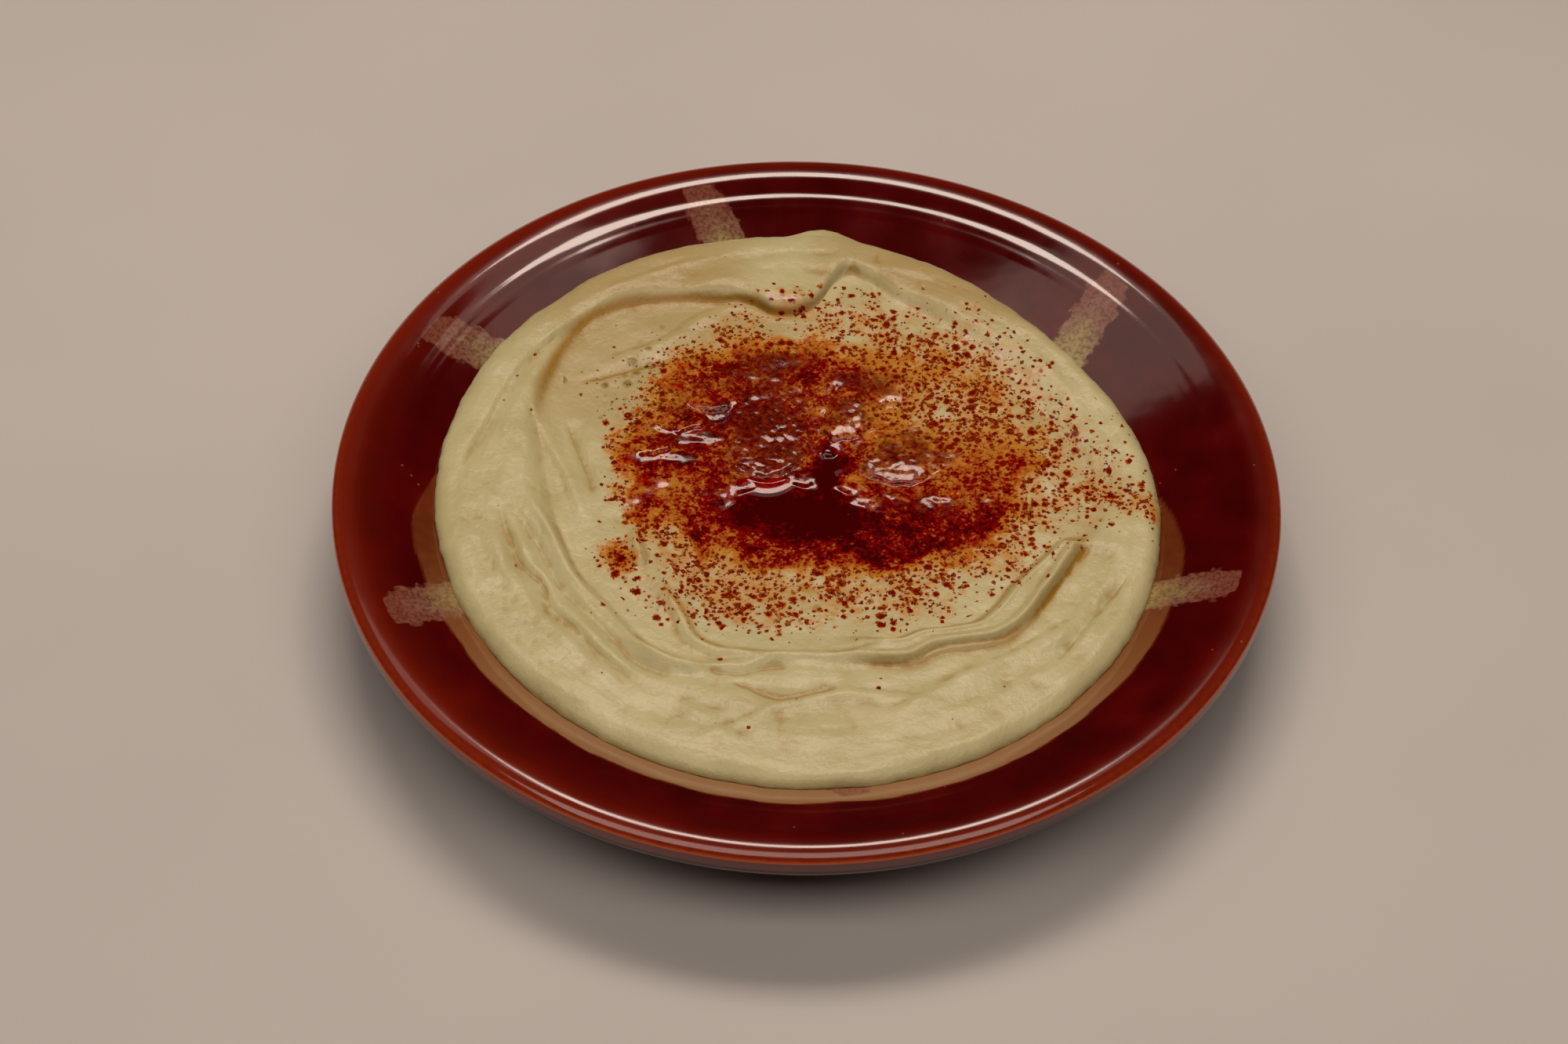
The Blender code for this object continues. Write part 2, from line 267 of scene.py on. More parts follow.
# Towards the lip all round, and further in on the left side of the wall, the brown-red is made
# lighter and warmer.
out_from_axis = np.hypot(dish_points[:, 0], dish_points[:, 1])
left_side = smooth(0.1, -0.8, dish_points[:, 0] / rim_radius)
warmer = 0.38 * smooth(92, 98.5, out_from_axis)
warmer = warmer + 0.4 * left_side * smooth(84, 97, out_from_axis)
measures = {"thin_glaze": thin, "lip": on_lip, "slip": slip * on_top, "slip_end": slip_end}
measures["warm"] = warmer * near_top
bowl = mesh_piece("bowl_glazed", dish_points, ring_faces(len(rings), dish_spokes), measures)
bowl.data.set_sharp_from_angle(angle=math.radians(50))


def paint(code, alpha=1):
    """An sRGB hex colour as linear red, green, blue and alpha."""
    parts = [int(code[i : i + 2], 16) / 255 for i in (1, 3, 5)]
    linear = [p / 12.92 if p <= 0.04045 else ((p + 0.055) / 1.055) ** 2.4 for p in parts]
    return (*linear, alpha)


def add(material, kind, inputs=(), stops=(), **settings):
    """Adds one node, of a kind such as "Mix" or "Math ADD", where the second word is its operation.

    inputs holds a value, a link, or a node whose first output is taken, for each socket: a tuple
    in the sockets' order, or a dict by name. stops holds a ramp's places, colours and alphas.
    """
    tree = material.node_tree
    kind, *operation = kind.split()
    made = tree.nodes.new("ShaderNode" + kind)
    if operation:
        made.operation = operation[0]
    for name, value in settings.items():
        setattr(made, name, value)
    if isinstance(inputs, tuple):
        inputs = dict(enumerate(inputs))
    for name, value in inputs.items():
        if isinstance(value, bpy.types.Node):
            value = next(socket for socket in value.outputs if socket.enabled)
        if isinstance(value, bpy.types.NodeSocket):
            tree.links.new(value, made.inputs[name])
        else:
            made.inputs[name].default_value = value
    for place, *colour in stops:
        elements = made.color_ramp.elements
        if place == stops[0][0]:
            elements.remove(elements[1])
            element = elements[0]
            element.position = place
        else:
            element = elements.new(place)
        element.color = paint(*colour)
    return made


def new_material(name):
    """An empty material, ready for its nodes."""
    material = bpy.data.materials.new(name)
    material.use_nodes = True
    material.node_tree.nodes.clear()
    return material


def finish_material(material, inputs, diffuse):
    """The Principled shader, joined to the output, and the plain colour of the material."""
    shader = add(material, "BsdfPrincipled", inputs)
    add(material, "OutputMaterial", {"Surface": shader})
    material.diffuse_color = diffuse


def coated(material, colour, coats):
    """A colour with coats laid over it in turn, each as its share and its own colour."""
    for share, coat in coats:
        colour = add(material, "Mix", {"Factor": share, "A": colour, "B": coat}, data_type="RGBA")
    return colour


# Lead-type glaze on red clay, dipped and fired: a deep clear brown-red with a wet, mirror-like
# skin, orange where it runs thin, with pale dust and pinholes here and there.
glaze = new_material("glazed_red_clay")
place = add(glaze, "TexCoord").outputs["Object"]
measure = {}
for name in ("thin_glaze", "slip", "slip_end", "warm", "smear", "lip"):
    measure[name] = add(glaze, "Attribute", attribute_name=name).outputs["Fac"]
# Pooling of the glaze, 14 mm across.
pooling = add(glaze, "TexNoise", {"Vector": place, "Scale": 1 / 0.014, "Detail": 3})
body_stops = ((0.3, "#3e0000"), (0.55, "#4c0000"), (0.75, "#5c0400"))
body = add(glaze, "ValToRGB", {"Fac": pooling}, body_stops)
# Streaks where the thin glaze lets the clay show, 1.5 mm across.
streak = add(glaze, "TexNoise", {"Vector": place, "Scale": 1 / 0.0015, "Detail": 4})
uneven = add(glaze, "Math MULTIPLY_ADD", (streak, 0.6, -0.3))
some = add(glaze, "Math MULTIPLY", (measure["thin_glaze"], uneven))
thinner = add(glaze, "Math ADD", (measure["thin_glaze"], some))
clay_stops = ((0, "#8c2a12", 0), (0.35, "#8a2c14", 0.55), (0.8, "#c04c1c"))
clay_shows = add(glaze, "ValToRGB", {"Fac": thinner}, clay_stops)
# A film of paste and oil that the spoon left on the glaze round the hummus. Its tan is partly a
# painted reflection of the hummus in the glaze.
wipes = add(glaze, "TexNoise", {"Vector": place, "Scale": 1 / 0.003, "Detail": 3})
film_reflection_uneven = add(glaze, "MapRange", (wipes, 0.35, 0.65, 1.15, 1.6))
film_reflection_share = add(glaze, "Math MULTIPLY", (measure["smear"], film_reflection_uneven))
film_reflection_cover = add(glaze, "Math MINIMUM", (film_reflection_share, 0.82))
film_reflection_stops = ((0.5, "#743a18"), (0.8, "#926238"), (1, "#a67e56"))
film_reflection_colour = add(glaze, "ValToRGB", {"Fac": measure["smear"]}, film_reflection_stops)
# Slip: crisp but ragged at its edges, pitted by pores 0.8 mm across, pinkish-brown where the brush
# left little of it, at the outer end, and cream where it is thick.
pores = add(glaze, "TexNoise", {"Vector": place, "Scale": 1 / 0.0008, "Detail": 3})
ragged = add(glaze, "TexNoise", {"Vector": place, "Scale": 1 / 0.0022, "Detail": 3})
torn = add(glaze, "Math MULTIPLY_ADD", (ragged, 0.5, -0.25))
worn = add(glaze, "Math ADD", (measure["slip"], torn))
laid = add(glaze, "MapRange", (worn, 0.02, 0.12))
under = add(glaze, "Math GREATER_THAN", (measure["slip"], 0.01))
kept = add(glaze, "Math MULTIPLY", (laid, under))
pit = add(glaze, "MapRange", (pores, 0.38, 0.56, 0.42, 0.9))
slip_cover = add(glaze, "Math MULTIPLY", (kept, pit))
thickness = add(glaze, "Math MULTIPLY_ADD", (measure["slip_end"], -1.3, 1))
bodied = add(glaze, "Math MULTIPLY_ADD", (measure["slip"], 0.35, thickness))
patchy = add(glaze, "Math MULTIPLY_ADD", (torn, 1.6, bodied))
slip_stops = ((0.15, "#86503e"), (0.45, "#8e6450"), (0.7, "#988058"), (0.95, "#a89860"))
slip_colour = add(glaze, "ValToRGB", {"Fac": patchy}, slip_stops)
# Dust: sparse pale specks, 0.5 mm across.
dust_cells = add(glaze, "TexVoronoi", {"Vector": place, "Scale": 1 / 0.004})
dust = add(glaze, "Math LESS_THAN", (dust_cells, 0.07))
dusty_places = add(glaze, "TexNoise", {"Vector": place, "Scale": 1 / 0.03})
few = add(glaze, "Math GREATER_THAN", (dusty_places, 0.56))
dust_amount = add(glaze, "Math MULTIPLY", (dust, few))
dust_faint = add(glaze, "Math MULTIPLY", (dust_amount, 0.35))
coats = (
    (measure["warm"], paint("#7c1e06")),
    (clay_shows.outputs["Alpha"], clay_shows),
    (film_reflection_cover, film_reflection_colour),
    (slip_cover, slip_colour),
    (dust_faint, paint("#9c7a6c")),
)
glazed = coated(glaze, body, coats)
# The fired skin: long soft waves, and a faint haze of handling. The lip is worn satin by use.
waves = add(glaze, "TexNoise", {"Vector": place, "Scale": 1 / 0.012, "Detail": 2})
wavy = add(glaze, "Bump", {"Height": waves, "Strength": 0.25, "Distance": 0.00025})
haze = add(glaze, "MapRange", (pooling, 0.3, 0.7, 0.07, 0.12))
worn_haze = add(glaze, "Math MULTIPLY_ADD", (measure["lip"], 0.05, haze))
fired = {"Base Color": glazed, "Roughness": worn_haze, "IOR": 1.62, "Normal": wavy}
finish_material(glaze, fired, paint("#4b0300"))
bowl.data.materials.append(glaze)
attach(bowl, "root")
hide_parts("bowl")

# ------------------------------------------------------------------------------------------------
# The hummus. Fine chickpea and tahini paste, spooned into the dish and turned with the back of a
# spoon: an outer ring, a swirl that steps down to a hollow, a tongue folded in at the back, a
# ridge at the front right, and a star of lobes round the middle. Paprika and cumin stain it.
# ------------------------------------------------------------------------------------------------

film = 0.1
outline_radius = 77.6
shoulder_width = 5.6
ring_level = -4.1
hollow_level = -6.2
oil_level = -7.9
spice_centre = (6, 12)
spice_radius = 46
dense_centre = (4.5, 11.5)
dense_half_length = 47
dense_half_width = 34.5

# The swirl's step as (angle, radius); between 84 and 104 degrees it follows the tongue's edge.
# Then how soft the step is, how far it drops, the furrow at its foot, and how far it leans over.
swirl = (
    (5, 66), (20, 63.5), (40, 62), (52, 61.5), (64, 62.8), (72, 64.3), (79, 68), (83.5, 69.4),
    (86.2, 64.7), (88.3, 59.5), (91, 56.6), (95, 55.2), (99, 56), (101.5, 58.4), (104, 60.3),
    (110, 62.3), (116, 65), (121, 67.8), (128, 70.4), (135, 71), (141, 69.5), (148, 67),
    (156, 64.5), (165, 61), (175, 57.5), (190, 54.5), (207, 54), (235, 54), (246, 52), (258, 47),
    (275, 44.5), (288, 47.5), (296, 50.2), (304, 50.4), (310, 53), (316, 55.8), (323, 56.6),
    (331, 56.2), (345, 58.2),
)
swirl_softness = (
    (5, 4.5), (40, 3.5), (60, 2.4), (72, 1.8), (80, 1.4), (88, 1.3), (95, 1.5), (102, 1.3),
    (108, 1.7), (118, 2), (145, 2), (175, 2.1), (205, 1.6), (235, 1.5), (275, 2), (300, 1.4),
    (345, 2.2),
)
step_drop = (
    (5, 1), (45, 1.3), (65, 1.8), (80, 2.2), (105, 2.7), (145, 2.5), (175, 2.1), (235, 1.7),
    (275, 1), (300, 0.8), (345, 0.9),
)
step_furrow = (
    (40, 0), (75, 0.1), (88, 0.3), (101, 0.4), (112, 0.2), (125, 0.1), (200, 0.2), (260, 0),
)
overhang = (
    (60, 0), (85, 0.3), (100, 0.8), (108, 0.3), (120, 0), (190, 0), (240, 0.3), (300, 0.1),
)

# Marks of the spoon that run round the dish, as raised or sunk lines: the height, how wide the line
# is towards the middle and away from it, and its track of (angle, radius).
spoon_marks = (
    (-1, 2.2, 1.2, ((134, 69.5), (145, 71), (155, 70.8), (166, 70.4), (173, 72), (182, 74))),
    (1.3, 1.1, 1.4, (
        (178, 60.4), (182, 59.2), (195, 54.6), (208, 53.8), (217, 52.8), (227, 53.4), (236, 54.9),
        (244, 54.4), (252, 51.5), (262, 49.3),
    )),
    (-1.1, 1.3, 1.5, (
        (184, 62.5), (199, 58), (209, 57.4), (217, 56.8), (227, 57), (236, 58.6), (244, 57.5),
        (250, 56),
    )),
    (-1.1, 1, 1.9, (
        (183, 66), (193, 63.6), (201, 63), (207, 60.8), (214, 62), (220, 61.2), (228, 62),
        (240, 62),
    )),
    (0.6, 1.6, 2.8, ((190, 66), (203, 65.5), (216, 65), (230, 65))),
    (1.1, 0.8, 1.6, (
        (212, 38.3), (226, 40.2), (234, 42.4), (241, 46), (247, 46.8), (254, 45.9), (269, 44.8),
        (285, 45.4), (300, 44.8),
    )),
    (-1.2, 1.4, 1.2, ((246, 53.5), (250, 52.7), (255, 51.9), (263, 48.5), (269, 48))),
    (-1.1, 1.6, 1, ((253, 54.5), (258, 54.9), (266, 56.4), (274, 54.3), (280, 53.5))),
    (0.45, 0.8, 1.8, (
        (249, 74.5), (256, 67.8), (261, 62.8), (266, 58.3), (273, 56.2), (280, 55.3), (286, 56.9),
        (292, 60), (299, 67),
    )),
    (0.6, 2.6, 1.1, ((152, 66.5), (159, 63), (165, 58.5), (174, 52), (184, 48.5), (194, 47))),
    (-0.6, 1.6, 0.9, ((158, 56), (166, 51), (175, 46.5), (184, 44.5))),
    (0.5, 2.2, 0.8, ((104, 60), (113, 58), (124, 55.5), (135, 57), (143, 60))),
    (-0.5, 1, 1.4, ((126, 50), (134, 52), (143, 56), (150, 61))),
    (-0.35, 2.2, 2, ((2, 69.5), (8, 69.5), (18, 67), (30, 67), (44, 68.5))),
    (-0.5, 2.5, 1.6, ((0, 60), (8, 61), (18, 59), (34, 56))),
    (1.3, 0.9, 1.2, ((196, 36.5), (202, 38), (207, 38.5), (213, 40))),
    (0.8, 1, 2.4, ((285, 63), (300, 60), (318, 62), (330, 66))),
    (-0.8, 1.6, 0.8, ((318, 69), (326, 68), (336, 69), (344, 71))),
    (0.4, 1.5, 1, ((108, 72.5), (118, 73), (130, 74))),
)

tongue_angle = 95
tongue_half_angle = 10

ridge_start = 278
ridge_end = 349
ridge_width = 5
ridge_rise = 2.1

# Lobes left standing between the spoon's furrows: x, y, half length, half width, turn, height of
# the top, how much it rises towards the diner, and how far it rounds down to its steep edge.
lobes = (
    (-8.5, 19, 14.4, 9.6, 92, -5.7, 0, 1), (9.5, 26, 10, 5.8, 66, -5.6, 0, 1.3),
    (21, 12.5, 10, 8.2, 20, -5.7, 0, 1.1), (29.2, 1.6, 6.2, 3, 2, -6.6, 0, 0.6),
    (27.8, -9.4, 3.6, 2.2, -12, -6.9, 0, 0.6), (-20, 29.6, 6.4, 5.2, 10, -6.3, 0.07, 0.14),
    (-28, 22.2, 5.8, 4.8, 8, -6.3, 0.07, 0.2), (-33, 15, 4.8, 4.1, 12, -6.3, 0.07, 0.2),
)
lobe_drop = 2.7
# Furrows the spoon left: start x and y, end x and y, and depth.
furrows = (
    (-19, 22.6, -25, 21.8, 0.8), (-22, 15.5, -30, 14.6, 0.7), (-27, 9.8, -35, 8.8, 0.6),
    (2.2, 18, 7, 31, 0.9), (12, 14, 19, 27, 1), (5, 13, 5, -2, 1.3), (-31, 0.5, -38.5, -8, 0.4),
)


def through(value, pairs, period=None):
    """A smooth curve through (place, height) pairs, which may close on itself after a period."""
    at = np.array([pair[0] for pair in pairs], float)
    height = np.array([pair[1] for pair in pairs], float)
    value = np.asarray(value, float)
    if period:
        value = value % period
        at = np.concatenate([at - period, at, at + period])
        height = np.concatenate([height, height, height])
    slope = np.gradient(height, at)
    k = np.clip(np.searchsorted(at, value, side="right") - 1, 0, len(at) - 2)
    span = at[k + 1] - at[k]
    t = np.clip((value - at[k]) / span, 0, 1)
    rise = 3 * t**2 - 2 * t**3
    start = (t - 2 * t**2 + t**3) * slope[k]
    end = (t**3 - t**2) * slope[k + 1]
    return height[k] + (height[k + 1] - height[k]) * rise + span * (start + end)


def spoon_mark(turn, rho, track, height, inner, outer):
    """One raised or sunk line along a track, fading at both ends."""
    first = track[0][0]
    span = track[-1][0] - first
    past_first = (turn - first) % 360
    course = [(angle - first, radius) for angle, radius in track]
    line = through(np.minimum(past_first, span), course)
    past = rho - line
    side = np.where(past < 0, past / inner, past / outer)
    fade = plateau(0, 0.22 * span, 0.78 * span, span, past_first)
    return height * fade * np.exp(-(side**2))


def outline(turn):
    """Radius of the edge where the hummus meets the dish."""
    turn = turn % 360
    flat = 2.6 * np.exp(-(((turn - 42) / 26) ** 2))
    peak = 2.6 * np.exp(-(((turn - 88) / 5) ** 2))
    wide = 1.7 * np.cos(np.radians(turn - 155)) + 1.2 * np.cos(np.radians(2 * (turn - 120)))
    a = np.radians(turn)
    x, y = 78 * np.cos(a), 78 * np.sin(a)
    uneven = 0.3 * bumps(x, y, 7, 11)
    uneven = uneven + 0.16 * bumps(x, y, 2.2, 12)
    return outline_radius + wide - flat + peak + uneven


# The film beside the hummus is a measure on the dish. It also carries a painted reflection of the
# hummus in the glaze: at the front it is 1 at the hummus and 0 from 5 mm away, and at the back there
# is none.
dish_turn, dish_rho = polar(dish_points[:, 0], dish_points[:, 1])
beside = dish_rho - outline(dish_turn)
front_share = dish_points[:, 1] / rim_radius
reflection_film_width = 5.4 * smooth(0.1, -0.15, front_share)
reflection_film_width = reflection_film_width + 0.4 * bumps(dish_points[:, 0], dish_points[:, 1], 9, 13)
film_and_reflection = 1 - smooth(reflection_film_width - 0.5, reflection_film_width, beside)
film_and_reflection = film_and_reflection * (0.5 + 0.5 * smooth(-0.1, -0.7, front_share)) * (reflection_film_width > 0.8) * on_top
smear = bowl.data.attributes.new("smear", "FLOAT", "POINT")
smear.data.foreach_set("value", film_and_reflection.astype(np.float32))


def tongue_at(turn):
    """1 where the tongue lies and 0 well beside it."""
    return np.exp(-(((turn - tongue_angle) / tongue_half_angle) ** 2))


def oval_reach(x, y, centre_x, centre_y, length, width, lean):
    """How far out a point lies in an oval, as a square: 0 in the middle and 1 on the edge."""
    a = math.radians(lean)
    u = (x - centre_x) * math.cos(a) + (y - centre_y) * math.sin(a)
    v = (y - centre_y) * math.cos(a) - (x - centre_x) * math.sin(a)
    return (u / length) ** 2 + (v / width) ** 2


def spot(x, y, *oval):
    """1 in the middle of an oval patch, fading smoothly outwards."""
    return np.exp(-oval_reach(x, y, *oval))


def lobe_height(x, y, centre_x, centre_y, length, width, lean, top, rise, roundness):
    """A flat-topped loaf with steep sides, which merges with the floor behind it."""
    q = oval_reach(x, y, centre_x, centre_y, length, width, lean)
    towards = np.clip(centre_y - y, -1.2 * width, 1.2 * width)
    edge = smooth(0.93 - 0.18 * roundness, 1.1 + 0.25 * roundness, q)
    return top + rise * towards - roundness * np.minimum(q, 1.5) - lobe_drop * edge


def stroke(x, y, start_x, start_y, end_x, end_y, left, right):
    """1 along a straight stroke, falling off over `left` and `right` millimetres beside it."""
    dx = end_x - start_x
    dy = end_y - start_y
    length = math.hypot(dx, dy)
    along = ((x - start_x) * dx + (y - start_y) * dy) / length
    across = ((y - start_y) * dx - (x - start_x) * dy) / length
    beyond = np.maximum(np.maximum(-along, along - length), 0)
    side = np.where(across < 0, across / right, across / left)
    return np.exp(-(side**2) - (beyond / 2.2) ** 2)


# The pool: ovals of x, y, half length, half width, turn, and share of the full depth.
pool_ovals = ((-2, -4, 12.4, 6.2, 0, 1), (5, 9, 2.3, 7, 0, 0.36))


def pool_share(x, y):
    """How deep the bed is pressed in under the oil, 0 to 1."""
    left_out = 1
    for *oval, deep in pool_ovals:
        left_out = left_out * (1 - deep * spot(x, y, *oval))
    return 1 - left_out


def wander(x, y):
    """The point moved a little, so that the lobes and the pool get uneven outlines."""
    x = x + bumps(x, y, 5.5, 21) + 0.6 * bumps(x, y, 2.4, 22)
    return x, y + bumps(x, y, 5.5, 23) + 0.6 * bumps(x, y, 2.4, 24)


def hollow_floor(x, y):
    """Height inside the swirl: the hollow, its furrows and lobes, and the basin under the oil."""
    rho = np.hypot(x, y)
    x, y = wander(x, y)
    floor = hollow_level - (1 - smooth(18, 48, rho))
    floor = floor + 0.14 * bumps(x, y, 8, 25)
    for *ends, deep in furrows:
        floor = floor - deep * stroke(x, y, *ends, 1.9, 1.9)
    floor = np.maximum(floor, oil_level + 0.35)
    pool = pool_share(x, y)
    floor = floor + (oil_level + 0.45 - 2.6 * pool - floor) * smooth(0.02, 0.3, pool)
    for form in lobes:
        floor = np.maximum(floor, lobe_height(x, y, *form))
    return floor


def ridge_share(turn):
    """1 along the ridge, fading in at its start and ending bluntly."""
    return plateau(ridge_start, ridge_start + 16, ridge_end - 3, ridge_end, turn)


def step_share(turn, rho):
    """0 in the hollow, 1 on the ring, and the share of the way up the step between them."""
    past = rho - through(turn, swirl, 360)
    return 0.5 + 0.5 * np.tanh(past / through(turn, swirl_softness, 360))


def worked_top(x, y):
    """Height of the hummus as the spoon left it, without its fine grain."""
    turn, rho = polar(x, y)
    past = rho - through(turn, swirl, 360)
    step = step_share(turn, rho)
    ring = ring_level + 0.45 * np.cos(np.radians(turn - 120))
    ring = ring + 0.6 * tongue_at(turn) * np.exp(-(((past - 4) / 5) ** 2))
    ring = ring + 0.5 * bumps(x, y, 24, 31) + 0.3 * bumps(x, y, 9, 32)
    hollow = np.minimum(hollow_floor(x, y), ring - through(turn, step_drop, 360))
    top = hollow + (ring - hollow) * step
    foot = np.maximum(through(turn, step_furrow, 360), 0)
    top = top - foot * np.exp(-(((past + 1.2) / 0.9) ** 2))

    # The spoon's long streaks follow its turn; they are stronger on the ring.
    arc = 60 * np.radians(turn)
    streaks = 0.08 * bumps(arc / 9, rho, 1.6, 33) + 0.34 * bumps(arc / 4, rho, 4.2, 34)
    calm = smooth(30, 46, rho) * (0.3 + 0.7 * step)
    top = top + streaks * calm

    for height, inner, outer, track in spoon_marks:
        top = top + spoon_mark(turn, rho, track, height, inner, outer)

    # The ridge is flat on top, has a steep outer face and ends bluntly.
    along = ridge_share(turn)
    wave = math.radians(1) * (turn - ridge_start)
    inner_edge = -(0.8 + 0.3 * np.sin(2.6 * wave) + 0.12 * np.sin(9 * wave)) * ridge_width
    outer_edge = 0.5 * np.sin(7 * wave + 1)
    band = plateau(inner_edge - 1.6, inner_edge + 0.8, outer_edge - 0.4, outer_edge + 1.3, past)
    crisp = 0.35 * np.exp(-(((past - inner_edge - 0.8) / 0.7) ** 2))
    crisp = crisp + 0.45 * np.exp(-(((past - outer_edge + 0.9) / 0.7) ** 2))
    top = top + along * (ridge_rise * band + crisp)
    top = top - along * 0.9 * smooth(0.8, 2.4, past) * (1 - smooth(4, 14, past))

    # The mass rounds off over its shoulder to meet the dish.
    edge = outline(turn)
    base = inner_wall(edge) + film
    t = np.clip((edge - rho) / shoulder_width, 0, 1)
    return base + (top - base) * (1 - (1 - t) ** 2.6) ** 0.5


def pebbles(x, y, size, seed):
    """Domes about `size` across that touch each other, from 0 between them to 1 on top."""
    rng = np.random.default_rng(seed)
    shift_x = rng.uniform(0.1, 0.9, (64, 64))
    shift_y = rng.uniform(0.1, 0.9, (64, 64))
    u = x / size + 100
    v = y / size + 100
    i = np.floor(u).astype(int)
    j = np.floor(v).astype(int)
    nearest = np.full(np.shape(u), 9)
    for a in (-1, 0, 1):
        for b in (-1, 0, 1):
            p = i + a + shift_x[(i + a) % 64, (j + b) % 64]
            q = j + b + shift_y[(i + a) % 64, (j + b) % 64]
            nearest = np.minimum(nearest, (u - p) ** 2 + (v - q) ** 2)
    return np.clip(1 - nearest / 0.55, 0, 1)


# Patches where spice lies thick and damp: x, y, half length, half width, turn, and how thick.
damp_patches = (
    (-8.2, 17.5, 14.5, 9, 92, 0.95), (9, 25.5, 6, 4.2, 60, 0.85), (20.5, 12.5, 9.5, 6.5, 24, 0.8),
    (25, -0.5, 14, 3.6, -4, 0.6), (-27, 20.5, 12, 9, 40, 0.4), (-8.5, 38, 9, 4, 10, 0.9),
    (12.5, 34, 8.5, 3.6, -12, 0.8), (-18, 32, 6.5, 3.2, 12, 0.65), (-28, 24, 5, 2.4, 8, 0.45),
    (29, 16, 6, 3, 0, 0.35),
)
# Patches where the stain is deeper, or paler when negative: x, y, half sizes, turn, and change.
stain_patches = (
    (5, -11, 30, 9, 0, 0.12), (-41, 27, 10, 11, 0, -0.55), (-5, -2, 13, 4.6, 0, 0.4),
    (4, -8, 20, 5.5, 0, 0.13), (20, -4, 16, 5, 0, 0.14), (26, -6, 21, 14, 0, 0.06),
    (5, 8.5, 4, 8, 0, 0.42), (-19.5, 22.6, 7, 2.4, 4, 0.36), (-26, 15.8, 8.5, 2.5, 6, 0.36),
    (-31, 9.6, 9.5, 2.5, 6, 0.34), (-20, 8, 9, 5, 20, 0.12), (-35, -4, 1.8, 5.5, -40, 0.34),
    (-8.5, 19, 9, 12, 0, 0.14), (-3, 37.5, 17, 4.5, -4, 0.18), (12, 31.5, 10, 4, -12, 0.18),
    (47, 10.5, 6, 2.8, -12, 0.34), (38, 13, 8, 3, 0, 0.12), (28.5, -15.5, 11, 2.8, -4, 0.14),
    (8, -16, 7, 3, 0, 0.1), (22, -15, 13, 4, 0, 0.05), (-38.6, -18.8, 3, 3.6, 30, 0.8),
    (-29.5, 1, 2, 9.5, -50, -0.26), (-14.5, 12, 2.2, 7, -12, -0.1), (-30, -13, 8, 6, 30, -0.1),
    (32, 27, 20, 13, -24, -0.62), (-3.5, 29.5, 6, 1.6, -38, -0.2), (2, 16, 2.2, 7, 0, -0.08),
)


def damp_cover(x, y, patches=damp_patches):
    """Where spice lies thick and damp on the lobes and behind them, 0 to 1."""
    cover = 0
    for *oval, thick in patches:
        cover = np.maximum(cover, thick * spot(x, y, *oval) ** 0.6)
    uneven = 0.3 * bumps(x, y, 4.2, 41) + 0.2 * bumps(x, y, 1.9, 44)
    return np.clip(cover + uneven * smooth(0.05, 0.4, cover), 0, 1)


def dense_reach(x, y):
    """How far out a point lies in the stained patch, a squarish oval: 1 on its edge."""
    u = np.abs(x - dense_centre[0]) / dense_half_length
    v = np.abs(y - dense_centre[1]) / dense_half_width
    return (u**2.6 + v**2.6) ** (1 / 2.6) + 0.09 * bumps(x, y, 9, 42) + 0.06 * bumps(x, y, 3.6, 43)


def stain_level(x, y):
    """How deep the red stain is: 0 clean, 0.3 orange, 0.6 red and 1 almost black."""
    fade_out = 0.98 + 0.14 * smooth(-12, 24, y)
    level = 0.65 * (1 - smooth(0.84, fade_out, dense_reach(x, y)))
    wander_x = x + 0.9 * bumps(x, y, 4, 45)
    wander_y = y + 0.9 * bumps(x, y, 4, 46)
    for *oval, change in stain_patches:
        level = level + change * spot(wander_x, wander_y, *oval)
    return np.clip(level, 0, 1.15)


def fleck_cover(x, y):
    """How thickly paprika flakes lie, 0 to 1: a round patch with a sharp left side and a tail."""
    u = x - spice_centre[0]
    v = y - spice_centre[1]
    ragged = 0.08 * bumps(x, y, 9, 47) + 0.05 * bumps(x, y, 3.5, 48)
    stretch = 1 + 0.12 * smooth(-20, 40, u)
    reach = np.hypot(u / stretch, v) / spice_radius + ragged
    fade = 0.12 + 0.26 * smooth(-36, 20, u)
    patch = 1 - smooth(1.04 - fade, 1.06 + 0.4 * fade, reach)
    tail = 0.32 * spot(x, y, 57, 6, 15, 12, 0)
    smear = 0.7 * stroke(x, y, 60, 3, 76, -3.5, 3.5, 3.5)
    patch = patch + 0.7 * spot(x, y, -19, -30, 13, 6, -10)
    patch = patch * (1 - 0.85 * spot(x, y, -5, 50, 13, 4.5, 0))
    clump = 1.3 * spot(x, y, -38.6, -18.8, 3.4, 4.2, 30)
    patchy = np.clip(0.9 + 0.5 * bumps(x, y, 7, 71) + 0.7 * bumps(x, y, 3.2, 72), 0.1, 1.3)
    bare = 1 - 0.85 * spot(x, y, -43, 27, 9, 13, 0)
    return np.clip((patch + tail + smear) * patchy * bare + clump, 0, 1)


